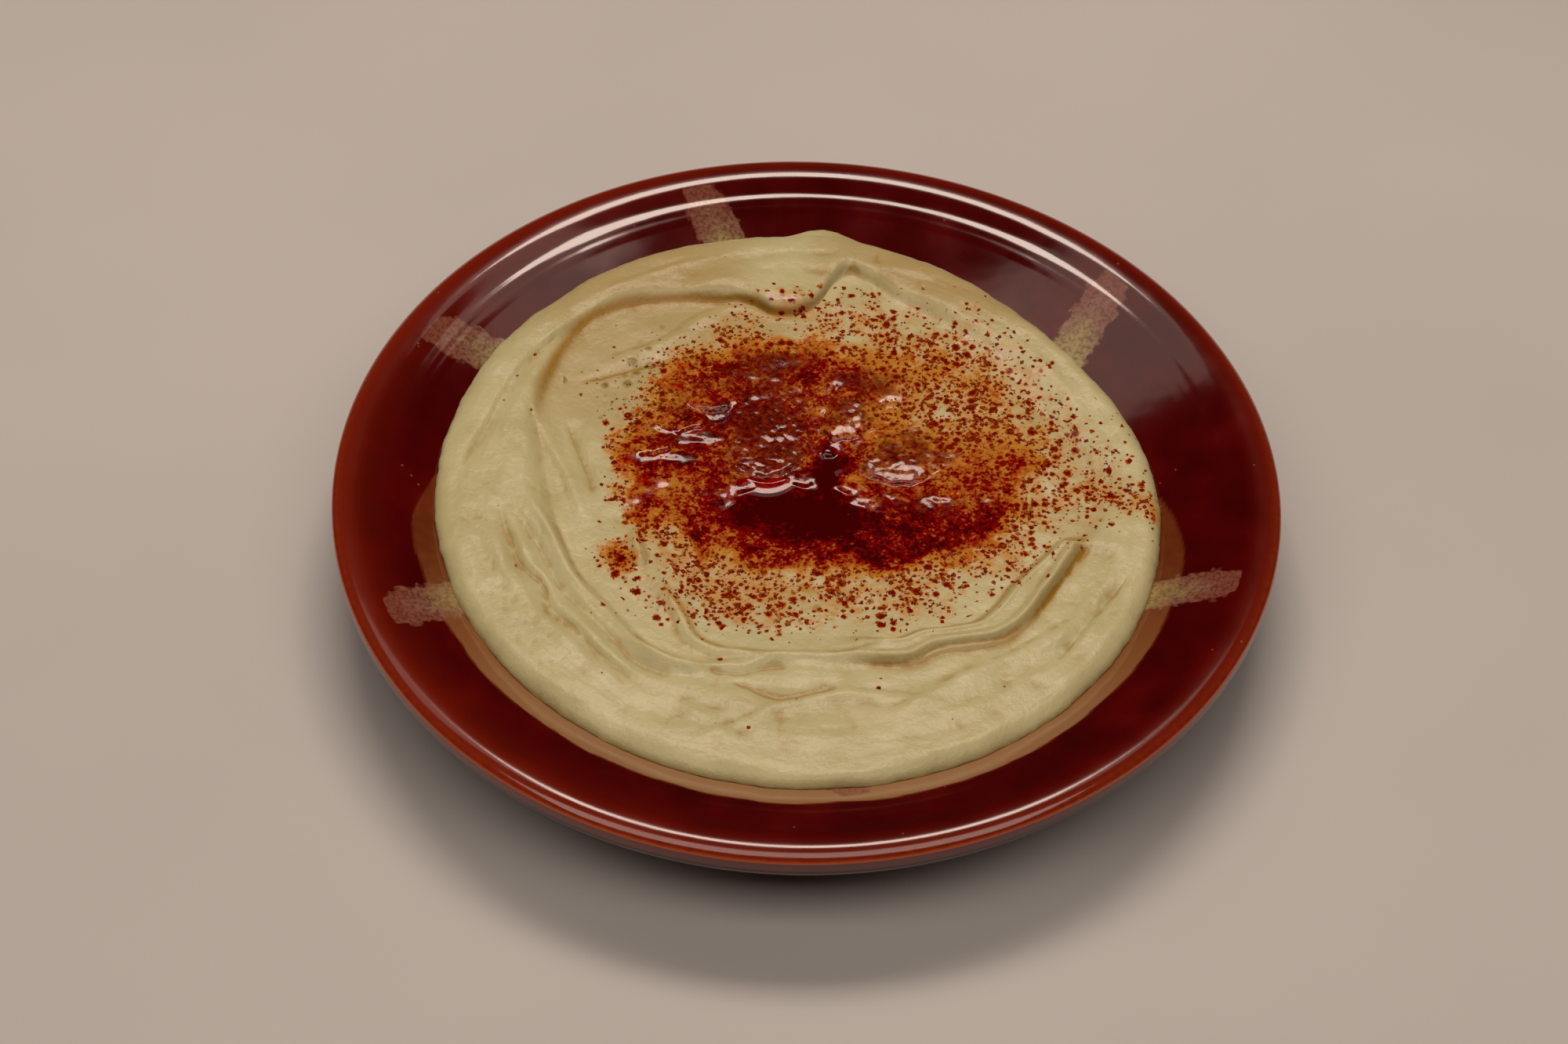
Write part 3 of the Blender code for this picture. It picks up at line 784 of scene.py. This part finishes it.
def relief(x, y, top):
    """The paste's fine grain: torn wrinkles on the ring, and granular spice on the lobes."""
    turn, rho = polar(x, y)
    grain = 0.07 * bumps(x, y, 2.4, 51) + 0.05 * bumps(x, y, 1.2, 52)
    stained = smooth(0.08, 0.3, stain_level(x, y))
    grain = grain * smooth(16, 34, rho) * (1 - stained)
    wrinkled = plateau(56, 61, 73, 77, rho)
    right = plateau(284, 294, 338, 352, turn)
    left = plateau(172, 186, 226, 244, turn)
    front = plateau(240, 247, 264, 276, turn)
    folded_x = x + 1.2 * bumps(x, y, 5, 53)
    folded_y = y + 0.8 * bumps(x, y, 4, 60)
    folded = 1 - np.abs(bumps(folded_x, folded_y, 3.6, 54))
    fine = 1 - np.abs(bumps(x, y + 0.6 * bumps(x, y, 3, 61), 2.2, 55))
    worked = wrinkled * (0.16 * right * folded**3 + 0.2 * (left + 0.3 * front) * fine**3)
    lumps = front * plateau(50, 55, 66, 71, rho) * 0.45 * bumps(x, y, 4.4, 56)
    everywhere = 0.14 * bumps(x, y, 4.5, 62) * smooth(40, 58, rho)
    damp = damp_cover(x, y, damp_patches[:5])
    spiced = damp * (0.25 * pebbles(x, y, 2, 57) + 0.18 * bumps(x, y, 3.2, 63))
    speckled = stained * 0.02 * bumps(x, y, 1.2, 59)
    pooled = smooth(0, 0.4, oil_level + 0.15 - top)
    return (grain + worked + lumps + everywhere + spiced + speckled - 0.1 * damp) * (1 - pooled)


def grid_of_hummus():
    """x and y of the grid on the hummus: spokes from the middle, with stations close at the step."""
    centre_x, centre_y = 2, 8
    spokes = 430
    reach = np.linspace(0, 95, 1901)
    # Stations to the foot of the step, over it, along the ring, and round the shoulder.
    even = [k + np.linspace(0, 1, count + 1)[1:] for k, count in enumerate((122, 36, 34))]
    share = np.concatenate([*even, 3 + np.sin(0.5 * math.pi * np.linspace(0, 1, 17)[1:])])
    columns = []
    for k in range(spokes):
        a = 2 * math.pi * k / spokes
        x = centre_x + reach * math.cos(a)
        y = centre_y + reach * math.sin(a)
        turn, rho = polar(x, y)
        step = reach[np.argmax(rho > through(turn, swirl, 360))]
        edge = reach[np.argmax(rho > outline(turn))]
        outside = min(step + 5.5, edge - shoulder_width - 0.8)
        knots = (0, step - 5, outside, edge - shoulder_width, edge)
        station = np.interp(share, range(5), knots)
        columns.append((centre_x + station * math.cos(a), centre_y + station * math.sin(a)))
    grid = np.array(columns)
    return centre_x, centre_y, grid[:, 0, :].T, grid[:, 1, :].T


def hollowness(height, rounds):
    """How far, in millimetres, each point lies below the surface evened out in some rounds."""
    soft = height.copy()
    for _ in range(rounds):
        inward = np.concatenate([soft[:1], soft[:-1]])
        outward = np.concatenate([soft[1:], soft[-1:]])
        beside = np.roll(soft, 1, axis=1) + np.roll(soft, -1, axis=1)
        soft = 0.4 * soft + 0.15 * (inward + outward + beside)
    return soft - height


middle_x, middle_y, grid_x, grid_y = grid_of_hummus()
grid_turn, grid_rho = polar(grid_x, grid_y)
grid_top = worked_top(grid_x, grid_y)
from_edge = smooth(0.3, 4, outline(grid_turn) - grid_rho)
grid_z = grid_top + relief(grid_x, grid_y, grid_top) * from_edge

# The upper lip of the step leans in over the hollow, most of all at the back left.
share = step_share(grid_turn, grid_rho)
lean = through(grid_turn, overhang, 360) * smooth(0.15, 0.75, share)
lean = lean * (1 - smooth(0.9, 0.998, share)) / grid_rho
top_rings = np.stack([grid_x * (1 - lean), grid_y * (1 - lean), grid_z + edge_height], -1)

under_rings = []
for part in (0.97, 0.8, 0.5, 0.2):
    x = middle_x + part * (grid_x[-1] - middle_x)
    y = middle_y + part * (grid_y[-1] - middle_y)
    under_rings.append(np.stack([x, y, inner_wall(np.hypot(x, y)) + film + edge_height], -1))
middle_top = float(worked_top(middle_x, middle_y)) + edge_height
middle_under = float(inner_wall(math.hypot(middle_x, middle_y))) + film + edge_height
rings = np.concatenate([top_rings, under_rings])
spokes = rings.shape[1]


def over_rings(values):
    """A measure on the top grid, as one number for every point of the closed body."""
    rest = np.zeros(len(under_rings) * spokes + 1)
    return np.concatenate([[float(values[0].mean())], values.ravel(), rest])


# Painted shade: the paste is made deeper and more yellow on the step's bank, at the ridge's foot and
# behind the hollow, where shade falls.
back = plateau(84, 98, 146, 168, grid_turn)
painted_shade = np.exp(-(((share - 0.35) / 0.34) ** 2)) * (0.15 + 0.85 * back)
past_swirl = grid_rho - through(grid_turn, swirl, 360)
foot = 0.6 * ridge_share(grid_turn) * np.exp(-(((past_swirl - 1.6) / 1.5) ** 2))
behind = 0.5 * smooth(38, 62, grid_y) * smooth(0.5, 1, share) * (1 - tongue_at(grid_turn))
painted_shade = np.maximum(np.maximum(painted_shade, foot), behind)
cumin_cover = 1.6 * spot(grid_x, grid_y, -35, 26, 9, 13, 20)
cumin_cover = cumin_cover + 0.3 * spot(grid_x, grid_y, 2, -24, 22, 7, 0)
hummus = mesh_piece(
    "hummus_worked",
    np.concatenate(
        [
            [(middle_x, middle_y, middle_top)],
            rings.reshape(-1, 3),
            [(middle_x, middle_y, middle_under)],
        ]
    ),
    ring_faces(len(rings), spokes),
    {
        "level": over_rings(stain_level(grid_x, grid_y)),
        "flecks": over_rings(fleck_cover(grid_x, grid_y)),
        "damp": over_rings(damp_cover(grid_x, grid_y)),
        "cumin": over_rings(cumin_cover),
        "hollow": over_rings(hollowness(grid_z, rounds=10)),
        "broad_hollow": over_rings(hollowness(grid_z, rounds=90)),
        "painted_shade": over_rings(painted_shade),
        "edge": over_rings(1 - from_edge),
    },
)


def stain_nodes(material, place, level, grain):
    """Paprika stain: colour, cover and depth. Blotches 4.5 mm across are broken up ever finer."""
    window = add(material, "MapRange", (level, 0, 0.2), interpolation_type="SMOOTHSTEP")
    blotches = ((0.0045, 3, 0.95), (0.0014, 2, 0.9), (0.0006, 2, 0.8))
    total = level
    for size, detail, share in blotches:
        noise = add(material, "TexNoise", {"Vector": place, "Scale": 1 / size, "Detail": detail})
        strength = share * grain
        centred = add(material, "Math MULTIPLY_ADD", (noise, strength, -0.5 * strength))
        total = add(material, "Math MULTIPLY_ADD", (centred, window, total))
    stops = (
        (0.04, "#c8ac66", 0), (0.14, "#d29c4a", 0.5), (0.24, "#ca7e2a", 0.85), (0.33, "#bc5a10"),
        (0.43, "#ac3000"), (0.54, "#9a1200"), (0.66, "#900600"), (0.8, "#7c0000"),
        (0.92, "#640000"), (1, "#420000"),
    )
    return add(material, "ValToRGB", {"Fac": total}, stops), total


def dots(material, where, cell, randomness, chance, spread, edge):
    """Round dots strewn at `where`, in cells of one size: how strong they are. Chance is the share
    of cells that hold one, spread how much they differ in size, and edge how softly they end."""
    strewn = {"Vector": where, "Scale": 1 / cell, "Randomness": randomness}
    cells = add(material, "TexVoronoi", strewn)
    random = add(material, "SeparateColor", {"Color": cells.outputs["Color"]})
    present = add(material, "Math LESS_THAN", (random.outputs["Red"], chance))
    radius = add(material, "Math MULTIPLY_ADD", (random.outputs["Green"], spread, 0.22))
    within = add(material, "Math SUBTRACT", (radius, cells))
    shaped = add(material, "MapRange", (within, *edge))
    return add(material, "Math MULTIPLY", (shaped, present))


# Chickpea and tahini paste, smeared with a spoon: a satin cream that light enters a little,
# with painted shade, deeper and more yellow, in its creases; stained by paprika in oil and
# flecked with its flakes.
paste = new_material("chickpea_paste")
place = add(paste, "TexCoord").outputs["Object"]
measure = {}
for name in ("level", "flecks", "damp", "cumin", "hollow", "broad_hollow", "painted_shade", "edge"):
    measure[name] = add(paste, "Attribute", attribute_name=name).outputs["Fac"]
mottle = add(paste, "TexNoise", {"Vector": place, "Scale": 1 / 0.011, "Detail": 5})
cream_stops = ((0.3, "#bfb786"), (0.5, "#c7c090"), (0.7, "#cec89c"))
cream = add(paste, "ValToRGB", {"Fac": mottle}, cream_stops)
# Painted shade: creases, hollows and the shaded banks are tinted a deeper ochre.
fine_crease_shade = add(paste, "MapRange", (measure["hollow"], 0.04, 0.22, 0, 0.6))
broad_crease_shade = add(paste, "MapRange", (measure["broad_hollow"], 0.6, 1.6, 0, 0.15))
crease_shade = add(paste, "Math ADD", (fine_crease_shade, broad_crease_shade), use_clamp=True)
painted_shade_share = add(paste, "Math MULTIPLY_ADD", (measure["painted_shade"], 1, crease_shade), use_clamp=True)
# Painted shade: near its edge, where it curves down to the dish, the paste is greyer and duller.
edge_shade = add(paste, "Math MULTIPLY", (measure["edge"], 0.3))
# Cumin bleeds olive-brown round each grain, in dots 1 to 3 mm across.
likely = measure["cumin"]
cumin_amount = dots(paste, place, 0.003, 0.85, likely, spread=0.25, edge=(-0.08, 0.18, 0, 0.9))
stain, stain_total = stain_nodes(paste, place, measure["level"], 1)
coats = (
    (painted_shade_share, paint("#a47c2c")),
    (edge_shade, paint("#b4b07c")),
    (cumin_amount, paint("#8a6a02")),
    (stain.outputs["Alpha"], stain),
)
stained = coated(paste, cream, coats)
# The oil of the flakes has bled into the paste round them, in soft orange patches.
bleed = add(paste, "TexNoise", {"Vector": place, "Scale": 1 / 0.0022, "Detail": 3})
bled = add(paste, "Math MULTIPLY_ADD", (bleed, 1.6, -0.85))
bled_here = add(paste, "Math ADD", (measure["flecks"], bled))
haloed = add(paste, "MapRange", (bled_here, 0, 0.85, 0, 0.8))
near_flakes = add(paste, "MapRange", (measure["flecks"], 0, 0.25))
bled_share = add(paste, "Math MULTIPLY", (haloed, near_flakes))
# Flakes too small to model, in spots 0.3 to 2 mm across, each with its own halo.
shift = add(paste, "TexNoise", {"Vector": place, "Scale": 1 / 0.0007, "Detail": 3})
centred_shift = add(paste, "VectorMath SUBTRACT", (shift.outputs["Color"], (0.5, 0.5, 0.5)))
nudge = add(paste, "VectorMath SCALE", {0: centred_shift, "Scale": 0.0011})
ragged_place = add(paste, "VectorMath ADD", (place, nudge))
fleck_strength = 0
for cell, sparse in ((0.0023, 0.8), (0.0017, 0.7), (0.0012, 0.6)):
    likely = add(paste, "Math MULTIPLY", (measure["flecks"], sparse))
    layer = dots(paste, ragged_place, cell, 0.8, likely, spread=0.3, edge=(-0.05, 0.22))
    fleck_strength = add(paste, "Math MAXIMUM", (fleck_strength, layer))
fleck_stops = (
    (0, "#bd8a40", 0), (0.25, "#b88034", 0.6), (0.45, "#a85c1a", 0.9),
    (0.65, "#a03c00"), (0.85, "#8a1800"), (1, "#720c00"),
)
fleck = add(paste, "ValToRGB", {"Fac": fleck_strength}, fleck_stops)
coats = ((bled_share, paint("#c4882e")), (fleck.outputs["Alpha"], fleck))
flecked = coated(paste, stained, coats)
# Deep stain drowns the flakes again.
deep_stain = add(paste, "MapRange", (stain_total, 0.5, 0.75))
# Damp ground spice, brown-red, in granules 1.7 mm across with oil standing between them.
grains = {"Vector": ragged_place, "Scale": 1 / 0.0017}
granules = add(paste, "TexVoronoi", grains, feature="DISTANCE_TO_EDGE")
granule = add(paste, "MapRange", (granules, 0.05, 0.22))
granule_here = add(paste, "Math MULTIPLY", (granule, measure["damp"]))
grit = add(paste, "TexNoise", {"Vector": place, "Scale": 1 / 0.0011, "Detail": 3})
grit_stops = ((0.34, "#3c0a02"), (0.5, "#601404"), (0.66, "#8a2c08"))
damp_spice = add(paste, "ValToRGB", {"Fac": grit}, grit_stops)
grit_shift = add(paste, "Math MULTIPLY_ADD", (grit, 1.2, -0.6))
thick_here = add(paste, "Math ADD", (measure["damp"], grit_shift))
covered = add(paste, "MapRange", (thick_here, 0.3, 0.8, 0, 0.85))
skin = coated(paste, flecked, ((deep_stain, stained), (covered, damp_spice)))
# It shines where it is stained, damp or under a flake, and is matt and finely porous elsewhere.
wet = add(paste, "Math MAXIMUM", (measure["level"], measure["damp"]))
oily = add(paste, "Math MAXIMUM", (wet, fleck_strength))
gloss = add(paste, "MapRange", (oily, 0.1, 0.45, 0.34, 0.11))
porous = {"Vector": place, "Scale": 1 / 0.0012, "Detail": 4, "Roughness": 0.6}
pores = add(paste, "TexNoise", porous)
dry = add(paste, "Math MULTIPLY_ADD", (oily, -1, 0.5), use_clamp=True)
soft_bump = add(paste, "Bump", {"Height": pores, "Strength": dry, "Distance": 0.00035})
grainy = {"Height": granule_here, "Strength": 0.12, "Distance": 0.00012, "Normal": soft_bump}
granular = add(paste, "Bump", grainy)
finish_material(
    paste,
    {
        "Base Color": skin,
        "Roughness": gloss,
        "IOR": 1.45,
        "Subsurface Weight": 0.35,
        "Subsurface Radius": (1, 0.7, 0.25),
        "Subsurface Scale": 0.0022,
        "Normal": granular,
    },
    paint("#d3bd88"),
)
hummus.data.materials.append(paste)
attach(hummus, "root")
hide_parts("hummus")

# ------------------------------------------------------------------------------------------------
# The oil. Olive oil poured in the middle and reddened by the paprika. It lies level among the
# lobes and in the furrows, climbs a little where it wets them, and carries one bubble.
# ------------------------------------------------------------------------------------------------

oil_low, oil_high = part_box("oil")
half_in_mm = 500
sheet_x = half_in_mm * (oil_low[0] + oil_high[0])
sheet_y = half_in_mm * (oil_low[1] + oil_high[1]) + 4
sheet_half_length = 40
sheet_half_width = 20
oil_spokes = 340
bubble_x, bubble_y, bubble_radius, bubble_height = 4.8, 14, 1.5, 0.9

angle = 2 * math.pi * np.arange(oil_spokes) / oil_spokes
station = np.linspace(0, 1, 121)[1:, None]
oil_x = sheet_x + station * sheet_half_length * np.cos(angle)
oil_y = sheet_y + station * sheet_half_width * np.sin(angle)
bed = worked_top(oil_x, oil_y)
above = bed + 0.05 - oil_level
wetting = 0.12 + 0.3 * smooth(0, 5, oil_y) * smooth(8, 2, oil_x)
surface = oil_level + 0.5 * (above + np.sqrt(above**2 + wetting**2)) - 0.06
# It climbs the foot of the tallest lobe in a long smooth curve.
lobe_x, lobe_y, lobe_length, lobe_width = lobes[0][:4]
from_lobe = ((oil_y - lobe_y) / lobe_length) ** 2 + ((oil_x - lobe_x) / lobe_width) ** 2
from_lobe = np.sqrt(from_lobe) - 1.05
climb = 0.9 * np.exp(-np.maximum(from_lobe, 0) * lobe_length / 1.9) * smooth(8, 5, oil_y)
climb = climb * smooth(10, 8, np.abs(oil_x - lobe_x))
surface = np.maximum(surface, oil_level + climb - 0.02)
surface = surface - 1.2 * smooth(0.9, 1.6, above) - 1.5 * smooth(0.86, 1, station)
surface = surface - 1.5 * (1 - smooth(0.01, 0.05, pool_share(oil_x, oil_y)))
away = np.hypot(oil_x - bubble_x, oil_y - bubble_y) / bubble_radius
surface = surface + bubble_height * np.sqrt(np.clip(1 - away**2, 0, 1))
below = np.minimum(surface, bed) - 0.4
oil_rings = np.concatenate(
    [
        np.stack([oil_x, oil_y, surface + edge_height], -1),
        np.stack([oil_x, oil_y, below + edge_height], -1)[::-1],
    ]
)
oil_deep = stain_level(oil_x, oil_y) + 0.06 + 0.08 * np.clip(oil_level - bed, 0, 3)
depths = [[oil_deep[0].mean()], oil_deep.ravel(), oil_deep[::-1].ravel(), [0.5]]
oil = mesh_piece(
    "oil_pool",
    np.concatenate(
        [
            [(sheet_x, sheet_y, surface[0].mean() + edge_height)],
            oil_rings.reshape(-1, 3),
            [(sheet_x, sheet_y, below[0].mean() + edge_height)],
        ]
    ),
    ring_faces(len(oil_rings), oil_spokes),
    {"level": np.concatenate(depths)},
)

# Paprika oil: mirror-smooth, orange over a shallow bed and almost black-red where it is deep, with
# flakes hanging in it. Its colour is what is seen through it, so it carries on the stain beside it.
red_oil = new_material("paprika_oil")
place = add(red_oil, "TexCoord").outputs["Object"]
level_socket = add(red_oil, "Attribute", attribute_name="level").outputs["Fac"]
seen = stain_nodes(red_oil, place, level_socket, 0.7)[0]
finish_material(red_oil, {"Base Color": seen, "Roughness": 0.05, "IOR": 1.47}, paint("#640c00"))
oil.data.materials.append(red_oil)
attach(oil, "root")
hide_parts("oil")

# ------------------------------------------------------------------------------------------------
# The spice. Ground paprika, sprinkled from the right, in flakes 0.45 to 1.6 mm across, most of them
# small: dense round the pool and looser outside it. Ground cumin lies with it, most at the back
# left.
# ------------------------------------------------------------------------------------------------

flake_corners = np.concatenate([np.eye(3), -np.eye(3)])[[0, 3, 1, 4, 2, 5]]
flake_sides = np.array(
    [(0, 2, 4), (2, 1, 4), (1, 3, 4), (3, 0, 4), (2, 0, 5), (1, 2, 5), (3, 1, 5), (0, 3, 5)]
)


def loose_cover(x, y):
    """How likely a flake is to lie loose at a point, 0 to 1."""
    clumped = np.clip(0.7 + 1.1 * bumps(x, y, 2.6, 73) + 0.7 * bumps(x, y, 1.3, 74), 0.05, 1)
    stained = stain_level(x, y)
    dry_here = 1 - 0.75 * smooth(0.2, 0.45, stained) - 0.24 * smooth(0.45, 0.6, stained)
    return fleck_cover(x, y) ** 1.2 * clumped * dry_here


def olive_cover(x, y):
    """How likely a cumin grain is to lie at a point, 0 to 1."""
    left = np.exp(-(((x + 33) / 10) ** 2) - ((y - 27) / 13) ** 2)
    behind = 0.5 * np.exp(-(((x + 10) / 12) ** 2) - ((y - 42) / 6) ** 2)
    return np.clip(left + behind + 0.12 * loose_cover(x, y), 0, 1)


def scattered(count, cover, strays, seed):
    """count places where cover allows, and a few strays anywhere on the hummus."""
    rng = np.random.default_rng(seed)
    x = rng.uniform(-80, 80, 40 * count)
    y = rng.uniform(-80, 80, 40 * count)
    keep = np.flatnonzero(rng.random(len(x)) < cover(x, y))[:count]
    far = np.sqrt(rng.uniform(0, 1, strays)) * 73
    round_about = rng.uniform(0, 2 * math.pi, strays)
    x = np.concatenate([x[keep], far * np.cos(round_about)])
    y = np.concatenate([y[keep], far * np.sin(round_about)])
    turn, rho = polar(x, y)
    on_food = rho < outline(turn) - 2
    return x[on_food], y[on_food]


def ground_spice(name, x, y, smallest, largest, seed):
    """Rough flat flakes at the given places, each pressed a little into what it lies on."""
    rng = np.random.default_rng(seed)
    count = len(x)
    top = worked_top(x, y)
    height = np.maximum(top + relief(x, y, top), oil_level) + edge_height
    size = smallest + (largest - smallest) * rng.random(count) ** 2.2
    corners = flake_corners * rng.uniform(0.6, 1.2, (count, 6, 1))
    shape = np.stack([np.ones(count), rng.uniform(0.55, 1, count), rng.uniform(0.2, 0.4, count)], 1)
    corners = corners * (0.5 * size[:, None] * shape)[:, None, :]
    yaw = rng.uniform(0, 2 * math.pi, count)
    tilt = rng.normal(0, 0.25, count)
    cos_tilt, sin_tilt = np.cos(tilt)[:, None], np.sin(tilt)[:, None]
    cos_yaw, sin_yaw = np.cos(yaw)[:, None], np.sin(yaw)[:, None]
    px = corners[..., 0] * cos_tilt + corners[..., 2] * sin_tilt
    pz = corners[..., 2] * cos_tilt - corners[..., 0] * sin_tilt
    py = corners[..., 1]
    points = np.stack(
        [
            x[:, None] + px * cos_yaw - py * sin_yaw,
            y[:, None] + px * sin_yaw + py * cos_yaw,
            (height + 0.02 * size)[:, None] + pz,
        ],
        -1,
    )
    faces = flake_sides[None] + 6 * np.arange(count)[:, None, None]
    tint = np.repeat(rng.random(count), 6)
    return mesh_piece(name, points.reshape(-1, 3), faces.reshape(-1, 3).tolist(), {"tint": tint})


def spice_material(name, colours):
    """Dry ground spice: matt, rough, each flake its own shade."""
    made = new_material(name)
    place = add(made, "TexCoord").outputs["Object"]
    tint = add(made, "Attribute", attribute_name="tint").outputs["Fac"]
    fleck = add(made, "TexNoise", {"Vector": place, "Scale": 1 / 0.0004, "Detail": 2})
    flecked = add(made, "Math MULTIPLY_ADD", (fleck, 0.5, -0.25))
    shade = add(made, "Math ADD", (tint, flecked))
    stops = [(k / (len(colours) - 1), code) for k, code in enumerate(colours)]
    colour = add(made, "ValToRGB", {"Fac": shade}, stops)
    rough = add(made, "MapRange", (fleck, 0, 1, 0.6, 0.85))
    bump = add(made, "Bump", {"Height": fleck, "Strength": 0.4, "Distance": 0.0001})
    matt = {"Roughness": rough, "IOR": 1.3, "Specular IOR Level": 0.08, "Normal": bump}
    finish_material(made, {"Base Color": colour, **matt}, paint(colours[1]))
    return made


paprika_x, paprika_y = scattered(3600, loose_cover, strays=50, seed=81)
paprika_sizes = {"smallest": 0.45, "largest": 1.6}
paprika = ground_spice("paprika_flakes", paprika_x, paprika_y, **paprika_sizes, seed=82)
paprika_shades = ("#801800", "#9a2800", "#aa3c04", "#8e1e00", "#ba641c")
paprika.data.materials.append(spice_material("ground_paprika", paprika_shades))
cumin_x, cumin_y = scattered(420, olive_cover, strays=10, seed=83)
cumin_sizes = {"smallest": 0.4, "largest": 1.1}
cumin = ground_spice("cumin_grains", cumin_x, cumin_y, **cumin_sizes, seed=84)
cumin.data.materials.append(spice_material("ground_cumin", ("#5a4a10", "#7a6818", "#948028")))
for spice_piece in (paprika, cumin):
    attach(spice_piece, "root")

# ------------------------------------------------------------------------------------------------
# The studio. A pale matt table, the diner's eye, and three soft panels overhead: two of them behind
# the dish and one before it.
# ------------------------------------------------------------------------------------------------

table_size = 1.5
bpy.ops.mesh.primitive_plane_add(size=table_size, location=(0, 0, cad_low[2]))
table = bpy.context.object
table.name = "floor"
matt = new_material("pale_matt_table")
place = add(matt, "TexCoord").outputs["Object"]
tone = add(matt, "TexNoise", {"Vector": place, "Scale": 6, "Detail": 3})
pale = add(matt, "ValToRGB", {"Fac": tone}, ((0.3, "#c4c2be"), (0.7, "#cccac6")))
finish_material(matt, {"Base Color": pale, "Roughness": 0.8}, paint("#c8c6c2"))
table.data.materials.append(matt)

panel_height = 1


def soft_panel(name, middle, size, radiance, colour):
    """A rectangular softbox that faces straight down, with the brightness of its face."""
    lamp = bpy.data.lights.new(name, "AREA")
    lamp.shape = "RECTANGLE"
    lamp.size, lamp.size_y = size
    lamp.energy = radiance * math.pi * size[0] * size[1]
    lamp.color = colour
    holder = bpy.data.objects.new(name, lamp)
    holder.location = (middle[0], middle[1], panel_height + edge_height * MM)
    bpy.context.scene.collection.objects.link(holder)


# Each panel lies flat one metre over the dish: its middle, its size, its brightness, its tint.
soft_panel("lamp", (0, 0.38), (0.6, 0.26), 12, (1, 0.82, 0.70))
soft_panel("window", (-0.16, 0.42), (1.36, 0.46), 0.9, (1, 0.80, 0.68))
soft_panel("before", (0, -0.50), (1.7, 0.50), 2.35, (1, 0.85, 0.75))

world = bpy.data.worlds.new("dim_room")
bpy.context.scene.world = world
world.use_nodes = True
world.node_tree.nodes["Background"].inputs["Color"].default_value = (1, 0.97, 0.94, 1)
world.node_tree.nodes["Background"].inputs["Strength"].default_value = 0.012

# The eye: 47 degrees above the table, 0.7 m from the middle of the rim, tilted a little to one side.
eye_elevation = math.radians(47.3)
eye_roll = math.radians(1.6)
eye_distance = 7 * rim_radius * MM
rim_share_of_width = 0.302
camera_data = bpy.data.cameras.new("eye")
sensor_width = 36
camera_data.sensor_width = sensor_width
camera_data.lens = sensor_width * rim_share_of_width * eye_distance / (rim_radius * MM)
camera_data.shift_x = -0.014
camera_data.shift_y = -0.02975
camera_data.clip_start = 0.01
looking = Vector((0, math.cos(eye_elevation), -math.sin(eye_elevation)))
level_right = Vector((1, 0, 0))
level_up = level_right.cross(looking)
right = level_right * math.cos(eye_roll) + level_up * math.sin(eye_roll)
up = level_up * math.cos(eye_roll) - level_right * math.sin(eye_roll)
turned = Matrix((right, up, -looking)).transposed().to_4x4()
camera = bpy.data.objects.new("eye", camera_data)
target = Vector((0, 0, edge_height * MM))
camera.matrix_world = Matrix.Translation(target - looking * eye_distance) @ turned
bpy.context.scene.collection.objects.link(camera)
bpy.context.scene.camera = camera
bpy.context.scene.view_settings.view_transform = "Standard"
